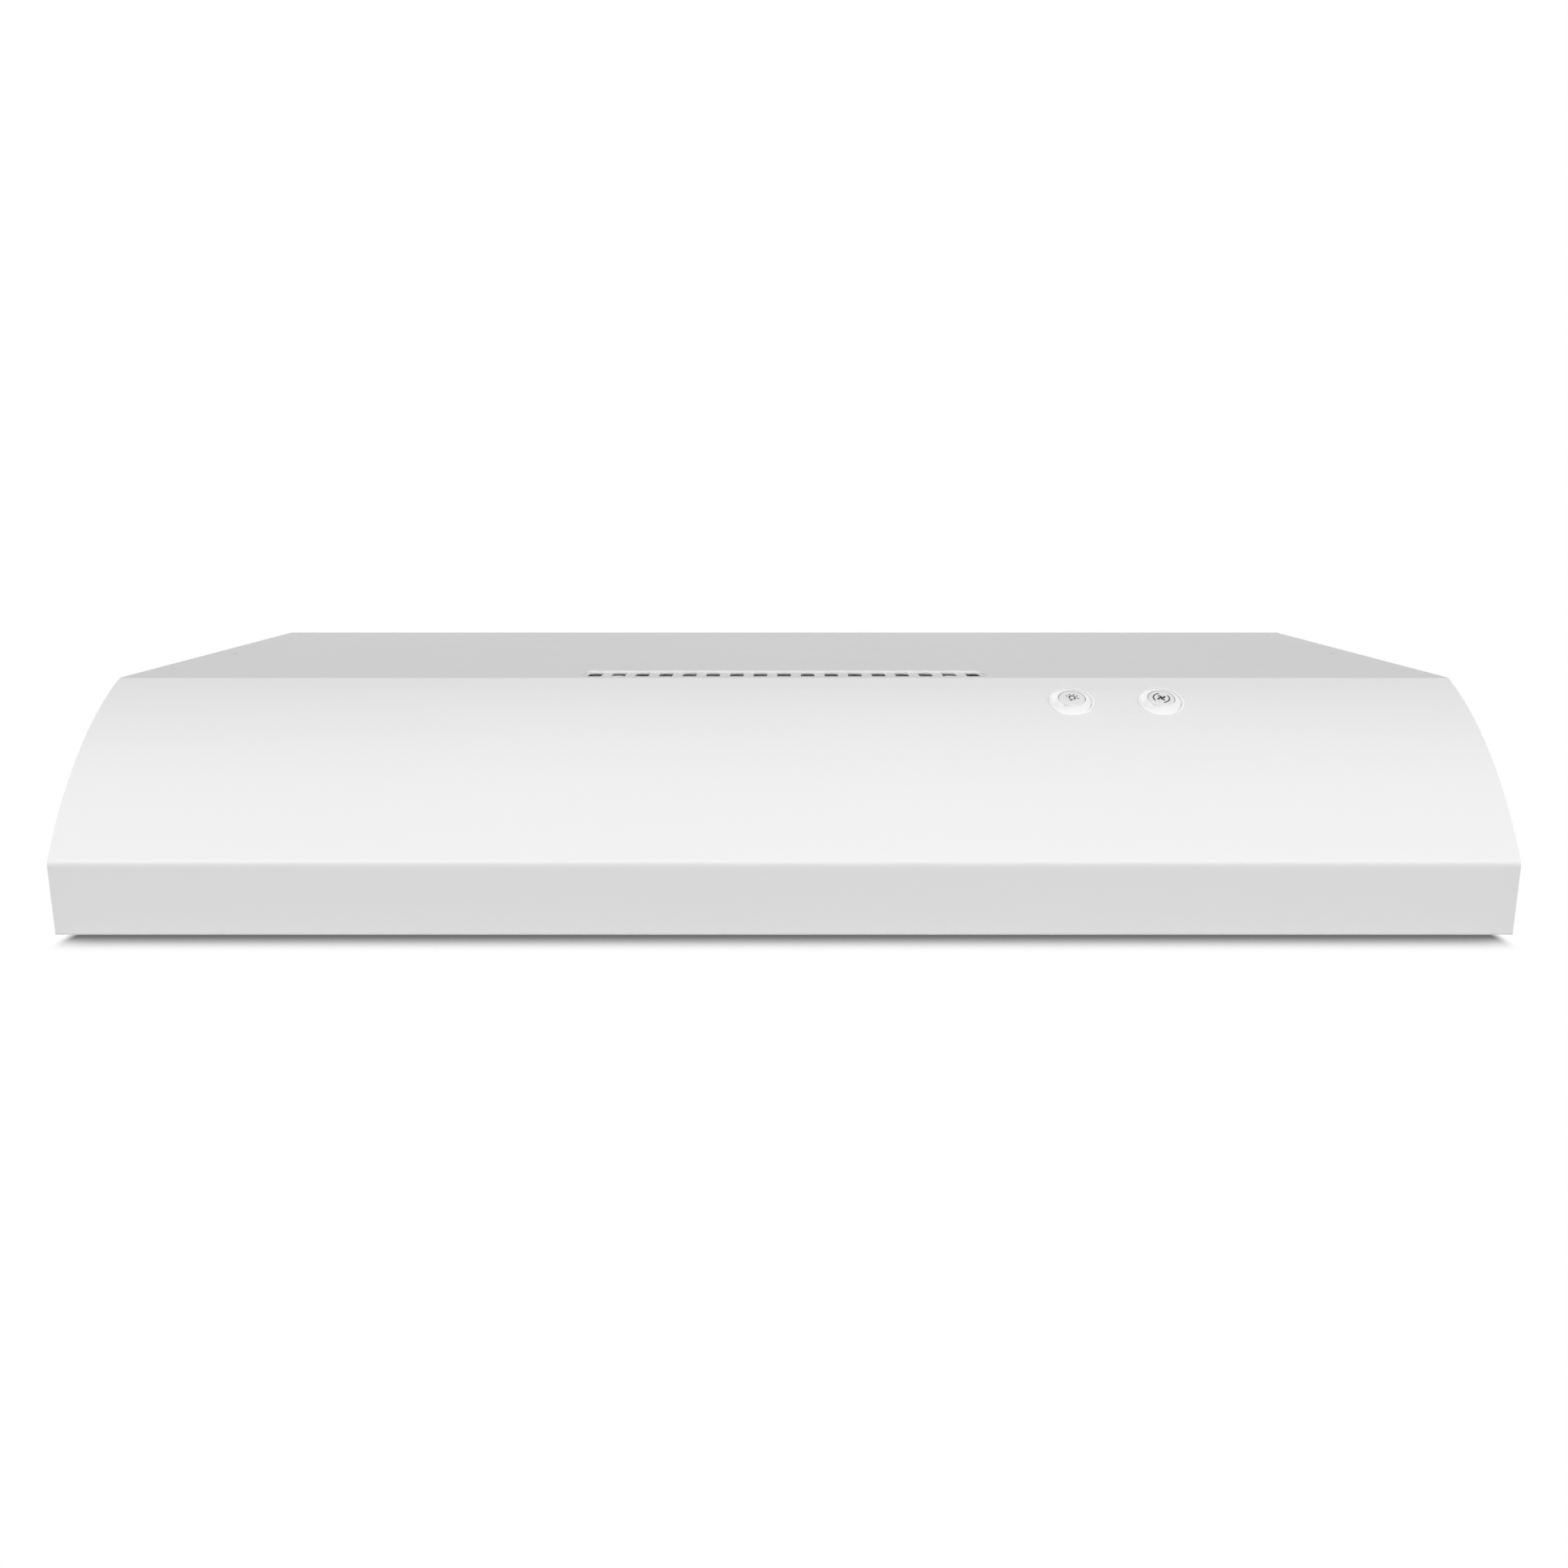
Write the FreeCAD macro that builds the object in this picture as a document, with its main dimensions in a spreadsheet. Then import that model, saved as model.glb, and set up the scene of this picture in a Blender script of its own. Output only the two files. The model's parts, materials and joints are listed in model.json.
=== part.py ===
"""Under-cabinet range hood, 36 inch class, ducted to the rear.

A folded steel canopy (one wrapped sheet, two sides, a back) over a recessed bottom pan. The pan holds
two tilting grease filters and two lamps. Inside are a motor with a blower wheel on each side, the
scrolls, the outlet plenum, the push-button control and the wiring box. A duct collar with a back-draught
flap is screwed to the back.

Frame: +X to the viewer's right, +Y to the wall, +Z up, millimetres. The origin is the centre of the
overall box (canopy and collar) at the level of the bottom rim.
"""
import FreeCAD, Part
import math
import os
import re

import Sketcher

Vector = FreeCAD.Vector
doc = FreeCAD.newDocument("RangeHood")

# ---------------------------------------------------------------- driving dimensions, millimetres
DIMENSIONS = {
    # canopy
    "width": 913, "depth": 498, "tall": 146, "sheet": 1, "lip_height": 46, "crease_in": 130,
    "front_arc": 282, "lip_bend": 8, "crease_bend": 3, "hem_bend": 1.2, "hem": 14, "flange": 12,
    # slotted strip behind the crease, and the tray under it
    "strip_long": 282, "strip_wide": 38, "strip_in": 8, "strip_deep": 1.3, "slot_pitch": 16.64,
    "slot_long": 27.5, "slot_wide": 9.6, "slot_count": 17, "slot_back": 2.5,
    "tray_half": 150, "tray_in": 135, "tray_wide": 57, "tray_deep": 24, "tray_rib": 1.6, "tray_post": 4.2,
    # hanging holes in the top, and the step at the side seams
    "hang_x": 874, "hang_y": 166, "hang_in": 382, "hang_hole": 2.75, "seam": 0.3,
    # buttons
    "light_x": 191.5, "button_pitch": 60, "button_in": 101, "aperture": 14.4, "bezel_barrel": 14.2,
    "barrel_deep": 4.6, "bezel_rim": 16.2, "bezel_high": 1.4, "rim_across": 1, "rim_up": 0.8, "dish": 14.4,
    "dish_deep": 1.2, "cap": 8.9, "cap_across": 1.9, "cap_up": 3.3, "cap_gap": 0.3, "cap_high": 0.7,
    "cap_lug": 1, "stem": 3, "plunger": 3.5, "switch_top": 14.2, "switch_side": 12, "switch_high": 7,
    # control board and the tray around it
    "board_long": 116, "board_wide": 46, "board_thick": 1.6, "board_tray_long": 124, "board_tray_wide": 54,
    "board_tray_deep": 30, "board_tray_wall": 2,
    # bottom pan and filters
    "pan_low": 22, "pan_foot": 8, "filter_in": 158, "filter_open": 404, "filter_run": 292,
    "filter_bar": 24, "filter_gap": 1.5, "filter_thick": 9, "filter_rail": 10, "screen": 0.6,
    "latch": 0.8, "latch_wide": 26, "filter_tab": 32, "rail_in": 50, "rail_run": 400, "rail_wide": 29.5,
    "rail_high": 20, "rail_steel": 1.2,
    # lamps
    "lamp_x": 320, "lamp_in": 84, "lamp_hole": 33, "trim_edge": 38.5, "trim_deep": 12, "window": 28,
    "lens": 31.5, "bulb": 25, "bulb_low": 5, "bulb_neck": 11, "socket": 14, "socket_low": 52,
    "socket_top": 67.5, "strap_half": 42, "strap_wide": 20, "strap_foot": 12,
    # blower
    "blower_in": 372, "blower_z": 90, "wheel": 46, "wheel_long": 70, "wheel_rim": 3, "hub": 9,
    "scroll_gap": 4, "scroll_step": 2, "inlet": 40, "scroll_end": 62, "blade_count": 32,
    "motor": 38, "motor_half": 30, "motor_bay": 94, "can_steel": 1.4, "boss": 11, "shaft": 4, "bearing": 6,
    "bearing_gap": 0.05, "rubber": 14, "rubber_long": 6, "arm": 2, "arm_half": 20, "plate": 1.5,
    # duct
    "duct_wide": 254, "duct_high": 82.5, "collar_out": 36, "collar_edge": 17, "rod": 1.5, "rod_drop": 3.5,
    "rod_gap": 0.08, "leaf": 0.8, "leaf_gap": 1.5,
    # wiring
    "cable_x": 365, "cable_z": 118, "cable_hole": 11, "cable_bore": 8, "cable_flange": 14, "box_left": 300,
    "box_right": 430, "box_deep": 90, "box_low": 92, "wire": 2.6,
    # screws
    "collar_head": 3.6, "collar_shank": 1.8, "pan_head": 4, "pan_shank": 2, "pan_screw_x": 436,
}

# Sizes worked out from the driving ones. They are written in the same short names.
WORKED_OUT = {
    "front": "-(depth + collar_out)/2",
    "back": "front + depth",
    "half": "width/2",
    "under": "tall - sheet",
    "chord": "sqrt(crease_in^2 + (tall - lip_height)^2)",
    "arc_drop": "sqrt(front_arc^2 - chord^2/4)",
    "arc_y": "front + crease_in/2 + (tall - lip_height)/chord*arc_drop",
    "arc_z": "(tall + lip_height)/2 - crease_in/chord*arc_drop",
    "bend_z": "arc_z + sqrt((front_arc - lip_bend)^2 - (arc_y - front - lip_bend)^2)",
    "crease_z": "tall - crease_bend",
    "crease_y": "arc_y - sqrt((front_arc - crease_bend)^2 - (crease_z - arc_z)^2)",
    "button_tilt": "asin((arc_y - front - button_in)/front_arc)",
    "button_y": "front + button_in",
    "button_z": "arc_z + sqrt(front_arc^2 - (arc_y - front - button_in)^2)",
    "pan_top": "pan_low + sheet",
    "hinge_y": "front + filter_in + filter_run",
    "filter_wide": "filter_open - 2*filter_gap",
    "filter_long": "filter_run - 2*filter_gap",
    "filter_mid": "filter_bar/2 + filter_open/2",
    "filter_low": "pan_top - filter_thick",
    "lamp_y": "front + lamp_in",
    "blower_y": "front + blower_in",
    "scroll": "wheel + scroll_gap",
    "duct_low": "blower_z - scroll - 3*scroll_step",
    "duct_top": "duct_low + duct_high",
    "duct_mid": "duct_low + duct_high/2",
    "scroll_back": "blower_y + scroll_end",
    "flap_y": "back + 9",
    "flap_z": "duct_top - rod_drop",
    "strip_mid": "front + crease_in + strip_in + strip_wide/2",
}

sheet = doc.addObject("Spreadsheet::Sheet", "Dims")
for row, (alias, value) in enumerate(DIMENSIONS.items(), start=1):
    sheet.set(f"A{row}", str(value))
    sheet.setAlias(f"A{row}", alias)
doc.recompute()


def bound(text):
    """An expression with its short names written out as cells of the sheet and as worked-out sizes."""
    def swap(match):
        word = match.group(0)
        if word in DIMENSIONS:
            return "Dims." + word
        return "Sizes." + word if word in WORKED_OUT else word
    return re.sub(r"[a-z][a-z_]*", swap, str(text))


sizes = doc.addObject("App::VarSet", "Sizes")
for word, formula in WORKED_OUT.items():
    sizes.addProperty("App::PropertyFloat", word, "Sizes", "")
    sizes.setExpression(word, bound(formula))
probe = doc.addObject("App::VarSet", "Probe")
probe.addProperty("App::PropertyFloat", "value", "Probe", "")
doc.recompute()


def number(text):
    """The present value of an expression, to draw a shape near its place before it is bound."""
    probe.setExpression("value", bound(text))
    probe.recompute()
    return probe.value


# ---------------------------------------------------------------- placing and Part primitives
AXIS_TURNS = {"+Z": ((0, 0, 1), 0), "-Z": ((1, 0, 0), 180), "+X": ((0, 1, 0), 90), "+Y": ((1, 0, 0), -90),
              "-Y": ((1, 0, 0), 90)}


def place(item, x=0, y=0, z=0, along="+Z", tilt=None):
    """Binds an item's placement. Its own +Z points along, or is tilted back about X by tilt degrees."""
    if tilt is not None:
        item.Placement = FreeCAD.Placement(Vector(), FreeCAD.Rotation(Vector(1, 0, 0), 10))
        item.setExpression("Placement.Rotation.Angle", bound(tilt))
    elif along != "+Z":
        axis, turn = AXIS_TURNS[along]
        item.Placement = FreeCAD.Placement(Vector(), FreeCAD.Rotation(Vector(*axis), turn))
    for letter, text in zip("xyz", (x, y, z)):
        item.setExpression("Placement.Base." + letter, bound(text))
    return item


def block(name, low, size):
    """A box from its low corner and its three sizes."""
    item = doc.addObject("Part::Box", name)
    for side, text in zip(("Length", "Width", "Height"), size):
        item.setExpression(side, bound(text))
    return place(item, *low)


def rod(name, radius, length, at, along="+Z", tilt=None):
    """A cylinder whose foot is at a point."""
    item = doc.addObject("Part::Cylinder", name)
    item.setExpression("Radius", bound(radius))
    item.setExpression("Height", bound(length))
    return place(item, *at, along=along, tilt=tilt)


def fuse(name, pieces):
    item = doc.addObject("Part::MultiFuse", name)
    item.Shapes = pieces
    item.Refine = True
    return item


def cut(name, base, tools):
    item = doc.addObject("Part::Cut", name)
    item.Base = base
    item.Tool = tools[0] if len(tools) == 1 else fuse(name + "_tools", tools)
    return item


def together(name, pieces):
    """Separate solids that share one node."""
    item = doc.addObject("Part::Compound", name)
    item.Links = pieces
    return item


# ---------------------------------------------------------------- sketches and PartDesign features
def new_body(name):
    return doc.addObject("PartDesign::Body", name)


def sketch_on(body, name, plane, offset=0):
    """A sketch on one of the body's origin planes, moved along the plane's normal."""
    item = body.newObject("Sketcher::SketchObject", name)
    support = [part for part in body.Origin.OriginFeatures if part.Role == plane][0]
    item.AttachmentSupport = (support, "")
    item.MapMode = "FlatFace"
    item.setExpression("AttachmentOffset.Base.z", bound(offset))
    return item


def arc_middle(start, end, radius, turn):
    """The middle point of the short arc from start to end. A turn of 1 bends left, -1 right."""
    chord = end - start
    left = Vector(-chord.y, chord.x, 0).normalize() * turn
    inward = math.sqrt(max(radius ** 2 - chord.Length ** 2 / 4, 0))
    return (start + end) / 2 + left * (inward - radius)


def outline(sketch, path):
    """Draws one closed loop. A corner is (x, y), or (x, y, radius, turn) if an arc leaves it."""
    corners = [Vector(number(corner[0]), number(corner[1]), 0) for corner in path]
    edges = []
    for i, corner in enumerate(path):
        start, end = corners[i], corners[(i + 1) % len(path)]
        if len(corner) == 4:
            middle = arc_middle(start, end, number(corner[2]), corner[3])
            edge = sketch.addGeometry(Part.Arc(start, middle, end))
        else:
            edge = sketch.addGeometry(Part.LineSegment(start, end))
        ends = (1, 2) if sketch.getPoint(edge, 1).distanceToPoint(start) < 1e-6 else (2, 1)
        edges.append((edge, *ends))
    for i, corner in enumerate(path):
        edge, first, last = edges[i]
        following, follow_first, _ = edges[(i + 1) % len(path)]
        sketch.addConstraint(Sketcher.Constraint("Coincident", edge, last, following, follow_first))
        x, y = corners[i].x, corners[i].y
        for kind, text, size in (("DistanceX", corner[0], x), ("DistanceY", corner[1], y)):
            index = sketch.addConstraint(Sketcher.Constraint(kind, -1, 1, edge, first, size))
            sketch.setExpression(f"Constraints[{index}]", bound(text))
        if len(corner) == 4:
            radius = Sketcher.Constraint("Radius", edge, number(corner[2]))
            index = sketch.addConstraint(radius)
            sketch.setExpression(f"Constraints[{index}]", bound(corner[2]))
    return sketch


def circle(sketch, x, y, radius):
    edge = sketch.addGeometry(Part.Circle(Vector(number(x), number(y), 0), Vector(0, 0, 1), number(radius)))
    centre = (-1, 1, edge, 3)
    parts = [("DistanceX", x, centre), ("DistanceY", y, centre), ("Radius", radius, (edge,))]
    for kind, text, where in parts:
        index = sketch.addConstraint(Sketcher.Constraint(kind, *where, number(text)))
        sketch.setExpression(f"Constraints[{index}]", bound(text))
    return sketch


def rectangle(sketch, x_low, y_low, x_high, y_high):
    return outline(sketch, [(x_low, y_low), (x_high, y_low), (x_high, y_high), (x_low, y_high)])


def rounded(sketch, x, y, long, wide, radius):
    """A rectangle with round corners about a centre."""
    a, b, r = f"({long})/2", f"({wide})/2", f"({radius})"
    return outline(sketch, [
        (f"{x} - {a} + {r}", f"{y} - {b}"), (f"{x} + {a} - {r}", f"{y} - {b}", radius, 1),
        (f"{x} + {a}", f"{y} - {b} + {r}"), (f"{x} + {a}", f"{y} + {b} - {r}", radius, 1),
        (f"{x} + {a} - {r}", f"{y} + {b}"), (f"{x} - {a} + {r}", f"{y} + {b}", radius, 1),
        (f"{x} - {a}", f"{y} + {b} - {r}"), (f"{x} - {a}", f"{y} - {b} + {r}", radius, 1),
    ])


def feature(body, kind, name, sketch, length, reverse=False, midplane=False):
    """A Pad or a Pocket, which has to change the body's volume."""
    before = body.Shape.Volume if body.Tip and not body.Shape.isNull() else 0
    item = body.newObject("PartDesign::" + kind, name)
    item.Profile = sketch
    item.setExpression("Length", bound(length))
    item.Reversed = reverse
    item.Midplane = midplane
    doc.recompute()
    change = body.Shape.Volume - before
    if (change > -1e-3) if kind == "Pocket" else (change < 1e-3):
        raise RuntimeError(f"{name} changed the volume by {change:.3f}")
    return item


def pad(body, name, sketch, length, reverse=False, midplane=False):
    return feature(body, "Pad", name, sketch, length, reverse, midplane)


def pocket(body, name, sketch, length, reverse=False, midplane=False):
    return feature(body, "Pocket", name, sketch, length, reverse, midplane)


def soften(body, name, radius, choose):
    """A fillet on the edges of the body's last feature that choose() picks."""
    tip = body.Tip
    picked = [f"Edge{i}" for i, edge in enumerate(tip.Shape.Edges, start=1) if choose(edge)]
    if not picked:
        raise RuntimeError(f"{name} found no edge")
    item = body.newObject("PartDesign::Fillet", name)
    item.Base = (tip, picked)
    item.setExpression("Radius", bound(radius))
    doc.recompute()
    return item


def pattern_line(body, name, origin, sketch_axis, length, count):
    item = body.newObject("PartDesign::LinearPattern", name)
    item.Originals = [origin]
    item.Direction = sketch_axis
    item.setExpression("Length", bound(length))
    item.setExpression("Occurrences", bound(count))
    body.Tip = item
    doc.recompute()
    return item


def turned(name, path):
    """A body of revolution about its own Z axis. The path's corners are (radius, height)."""
    body = new_body(name)
    profile = outline(sketch_on(body, name + "_profile", "XZ_Plane"), path)
    item = body.newObject("PartDesign::Revolution", name + "_turn")
    item.Profile = profile
    item.ReferenceAxis = (profile, ["V_Axis"])
    item.Angle = 360
    doc.recompute()
    return body


def plate(name, plane, offset, thickness, draw, reverse=False, midplane=False):
    """A body of one padded sketch. draw(sketch) draws its loops."""
    body = new_body(name)
    profile = sketch_on(body, name + "_profile", plane, offset)
    draw(profile)
    pad(body, name + "_pad", profile, thickness, reverse, midplane)
    return body


# ---------------------------------------------------------------- canopy
def canopy_line(inset, start):
    """The canopy's side line from the lip's foot at height start to the top's rear, moved in by inset."""
    r, bend, crease = f"(front_arc - {inset})", f"(lip_bend - {inset})", f"(crease_bend - {inset})"
    lip_y, lip_z = "(front + lip_bend - arc_y)", "(bend_z - arc_z)"
    top_y, top_z = "(crease_y - arc_y)", "(crease_z - arc_z)"
    return [
        (f"front + {inset}", start),
        (f"front + {inset}", "bend_z", bend, -1),
        (f"arc_y + {r}*{lip_y}/(front_arc - lip_bend)", f"arc_z + {r}*{lip_z}/(front_arc - lip_bend)", r, -1),
        (f"arc_y + {r}*{top_y}/(front_arc - crease_bend)", f"arc_z + {r}*{top_z}/(front_arc - crease_bend)",
         crease, -1),
        ("crease_y", f"tall - {inset}"),
    ]


def backwards(path):
    """The same line drawn from its other end, so that its arcs turn the other way."""
    turned_round = []
    for i in range(len(path) - 1, -1, -1):
        arc = path[i - 1][2:] if i > 0 and len(path[i - 1]) == 4 else ()
        turned_round.append((*path[i][:2], arc[0], -arc[1]) if arc else path[i][:2])
    return turned_round


def across(y, z):
    """Picks the edges that run along X through a point of the side view."""
    y, z = number(y), number(z)

    def choose(edge):
        box = edge.BoundBox
        flat = box.YLength < 1e-6 and box.ZLength < 1e-6
        return flat and abs(box.YMin - y) < 0.01 and abs(box.ZMin - z) < 0.01
    return choose


def make_wrap():
    """Top, curved front, lip and front hem, folded from one sheet."""
    body = new_body("canopy_wrap")
    side_line = sketch_on(body, "wrap_line", "YZ_Plane")
    outline(side_line, canopy_line("0", "0") + [("back", "tall"), ("back", "under")]
            + backwards(canopy_line("sheet", "sheet")) + [("front + hem", "sheet"), ("front + hem", "0")])
    pad(body, "wrap_pad", side_line, "width - 2*seam", midplane=True)
    soften(body, "wrap_hem_bend", "hem_bend", across("front", "0"))

    tray = rounded(sketch_on(body, "strip_floor", "XY_Plane", "under"), "0", "strip_mid",
                   "strip_long + 2*sheet", "strip_wide + 2*sheet", "5")
    pad(body, "strip_floor_pad", tray, "strip_deep", reverse=True)
    recess = rounded(sketch_on(body, "strip_recess", "XY_Plane", "tall"), "0", "strip_mid",
                     "strip_long", "strip_wide", "4")
    pocket(body, "strip_recess_cut", recess, "strip_deep")
    slot = rounded(sketch_on(body, "slot", "XY_Plane", "tall"), "-slot_pitch*(slot_count - 1)/2",
                   "strip_mid + slot_back", "slot_wide", "slot_long", "slot_wide*0.45")
    first = pocket(body, "slot_cut", slot, "sheet + 2*strip_deep")
    pattern_line(body, "slot_row", first, (slot, ["H_Axis"]), "slot_pitch*(slot_count - 1)", "slot_count")

    hang_low, hang_high = "front + hang_in - hang_y/2", "front + hang_in + hang_y/2"
    holes = sketch_on(body, "hang_holes", "XY_Plane", "tall")
    for x, y in ((-1, hang_low), (1, hang_low), (-1, hang_high), (1, hang_high)):
        circle(holes, f"({x})*hang_x/2", y, "hang_hole")
    pocket(body, "hang_holes_cut", holes, "2*sheet")

    punches = [on_front(doc.addObject("Part::Cylinder", f"aperture_{i}"), i, out="-10") for i in (0, 1)]
    for punch in punches:
        punch.setExpression("Radius", bound("aperture"))
        punch.Height = 20
    return cut("canopy_wrap_pierced", body, punches)


def make_side(name, side):
    """A side sheet, folded inward along its top, front and foot."""
    body = new_body(name)
    start = "half - flange" if side > 0 else "-half"
    inside = "half - flange" if side > 0 else "-half + sheet"
    line = sketch_on(body, name + "_line", "YZ_Plane", start)
    outline(line, canopy_line("sheet", "sheet") + [("back - sheet", "under"), ("back - sheet", "0"),
                                                   ("front + hem", "0"), ("front + hem", "sheet")])
    pad(body, name + "_pad", line, "flange")
    hollow = sketch_on(body, name + "_hollow", "YZ_Plane", inside)
    outline(hollow, canopy_line("2*sheet", "2*sheet") + [
        ("back - 2*sheet", "under - sheet"), ("back - 2*sheet", "sheet"),
        ("front + hem + sheet", "sheet"), ("front + hem + sheet", "2*sheet")])
    pocket(body, name + "_hollow_cut", hollow, "flange - sheet", reverse=True)
    return body


def make_back():
    """The back sheet, with the duct opening, the cable hole and a foot folded forward."""
    def draw(sketch):
        rectangle(sketch, "seam - half", "0", "half - seam", "under")
        rectangle(sketch, "-duct_wide/2", "duct_low", "duct_wide/2", "duct_top")
        circle(sketch, "cable_x", "cable_z", "cable_hole")
    body = plate("back_panel", "XZ_Plane", "-back", "sheet", draw)
    foot = sketch_on(body, "back_foot", "XY_Plane")
    rectangle(foot, "-half + flange", "back - hem", "half - flange", "back - sheet")
    pad(body, "back_foot_pad", foot, "sheet")
    return body


def make_deflector():
    """The closed tray under the slots, with a rib along the slots' middle and two posts up through slots."""
    low = ("-tray_half", "front + tray_in", "tall - tray_deep")
    floor_z = "tall - tray_deep + sheet"
    out = block("deflector_out", low, ("2*tray_half", "tray_wide", "tray_deep - sheet"))
    hollow = block("deflector_in", ("-tray_half + sheet", "front + tray_in + sheet", floor_z),
                   ("2*(tray_half - sheet)", "tray_wide - 2*sheet", "tray_deep"))
    under_strip = "tray_deep - 2*sheet - strip_deep"
    rib = block("deflector_rib", ("-tray_half + sheet", "strip_mid + 1", floor_z),
                ("2*(tray_half - sheet)", "tray_rib", f"{under_strip} - 0.3"))
    posts = [rod(f"deflector_post_{i}", "tray_post", f"{under_strip} + sheet - 0.1",
                 (f"({side})*slot_pitch*7", "strip_mid - 6", floor_z)) for i, side in enumerate((-1, 1))]
    return fuse("vent_deflector", [cut("deflector_shell", out, [hollow]), rib, *posts])


# ---------------------------------------------------------------- bottom pan, filters, lamps
def make_pan():
    """The recessed bottom: a tray turned upside down, with the filter openings and lamp holes."""
    outer_x, low_y, high_y = "half - sheet - pan_foot", "front + sheet + pan_foot", "back - sheet - pan_foot"
    middle, long, wide = f"({low_y} + {high_y})/2", f"2*({outer_x})", f"{high_y} - ({low_y})"
    body = plate("bottom_pan", "XY_Plane", "2*sheet", "pan_low - sheet",
                 lambda s: rounded(s, "0", middle, long, wide, "4"))
    hollow = sketch_on(body, "pan_hollow", "XY_Plane", "2*sheet")
    rounded(hollow, "0", middle, f"{long} - 2*sheet", f"{wide} - 2*sheet", "3")
    pocket(body, "pan_hollow_cut", hollow, "pan_low - 2*sheet", reverse=True)
    holes = sketch_on(body, "pan_holes", "XY_Plane", "pan_top")
    for side in (-1, 1):
        rounded(holes, f"({side})*filter_mid", "hinge_y - filter_run/2", "filter_open", "filter_run", "2")
        circle(holes, f"({side})*lamp_x", "lamp_y", "lamp_hole")
    pocket(body, "pan_holes_cut", holes, "2*sheet")

    def rim(edge):
        box = edge.BoundBox
        outside = (abs(abs(box.XMin) - number(outer_x)) < 0.01 or abs(box.YMin - number(low_y)) < 0.01
                   or abs(box.YMax - number(high_y)) < 0.01)
        return outside and box.ZLength < 1e-6 and abs(box.ZMin - number("pan_top")) < 1e-6
    soften(body, "pan_bend", "1.6", rim)
    return body


def make_rail(name, side):
    """The angle that carries one end of the pan, along a side sheet."""
    leg_x = "half - sheet - rail_wide" if side > 0 else "-half + sheet"
    wall_x = "half - 2*sheet" if side > 0 else "-half + sheet"
    leg = block(name + "_leg", (leg_x, "front + rail_in", "pan_top"), ("rail_wide", "rail_run", "rail_steel"))
    wall = block(name + "_wall", (wall_x, "front + rail_in", "pan_top"), ("sheet", "rail_run", "rail_high"))
    return fuse(name, [leg, wall])


def make_filter(name, side):
    """One filter: its frame with two rear tabs, its mesh pack and its sprung pull."""
    left = f"({side})*filter_mid - filter_wide/2"
    near = "hinge_y - filter_gap - filter_long"
    rail, wall = "filter_rail", "sheet"
    out = block(name + "_outer", (left, near, "filter_low"), ("filter_wide", "filter_long", "filter_thick"))
    window = block(name + "_window", (f"{left} + {rail}", f"{near} + {rail}", "filter_low - 1"),
                   (f"filter_wide - 2*{rail}", f"filter_long - 2*{rail}", "filter_thick + 2"))
    inner = (f"{left} + {wall}", f"{near} + {wall}", f"filter_low + {wall}")
    inner_size = (f"filter_wide - 2*{wall}", f"filter_long - 2*{wall}", f"filter_thick - 2*{wall}")
    channel = block(name + "_channel", inner, inner_size)
    tab_x = f"({side})*filter_mid - filter_tab/2"
    tabs = [block(f"{name}_tab_{i}", (f"{tab_x} + {x}", "hinge_y - filter_tab/4", "pan_top"),
                  ("filter_tab", "filter_tab/2", wall)) for i, x in enumerate((-120, 120))]
    frame = fuse(name + "_frame", [cut(name + "_rim", out, [window, channel]), *tabs])
    screens = [block(f"{name}_screen_{i}", (*inner[:2], z), (*inner_size[:2], "screen"))
               for i, z in enumerate((f"filter_low + {wall}", f"pan_top - {wall} - screen"))]
    mesh = together(name + "_mesh", screens)

    pull = new_body(name + "_latch")
    line = sketch_on(pull, name + "_latch_line", "YZ_Plane", f"({side})*filter_mid")
    nose, steel, grip = "front + filter_in - 5", "latch", "filter_low - 8"
    outline(line, [(near, f"{grip} + {steel}"), (near, "pan_top + 1"), (nose, "pan_top + 1"),
                   (nose, f"pan_top + 1 - {steel}"), (f"{near} - {steel}", f"pan_top + 1 - {steel}"),
                   (f"{near} - {steel}", grip), (f"{near} + 7", grip), (f"{near} + 7", f"{grip} + {steel}")])
    pad(pull, name + "_latch_pad", line, "latch_wide", midplane=True)
    return [frame, mesh, pull]


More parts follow.
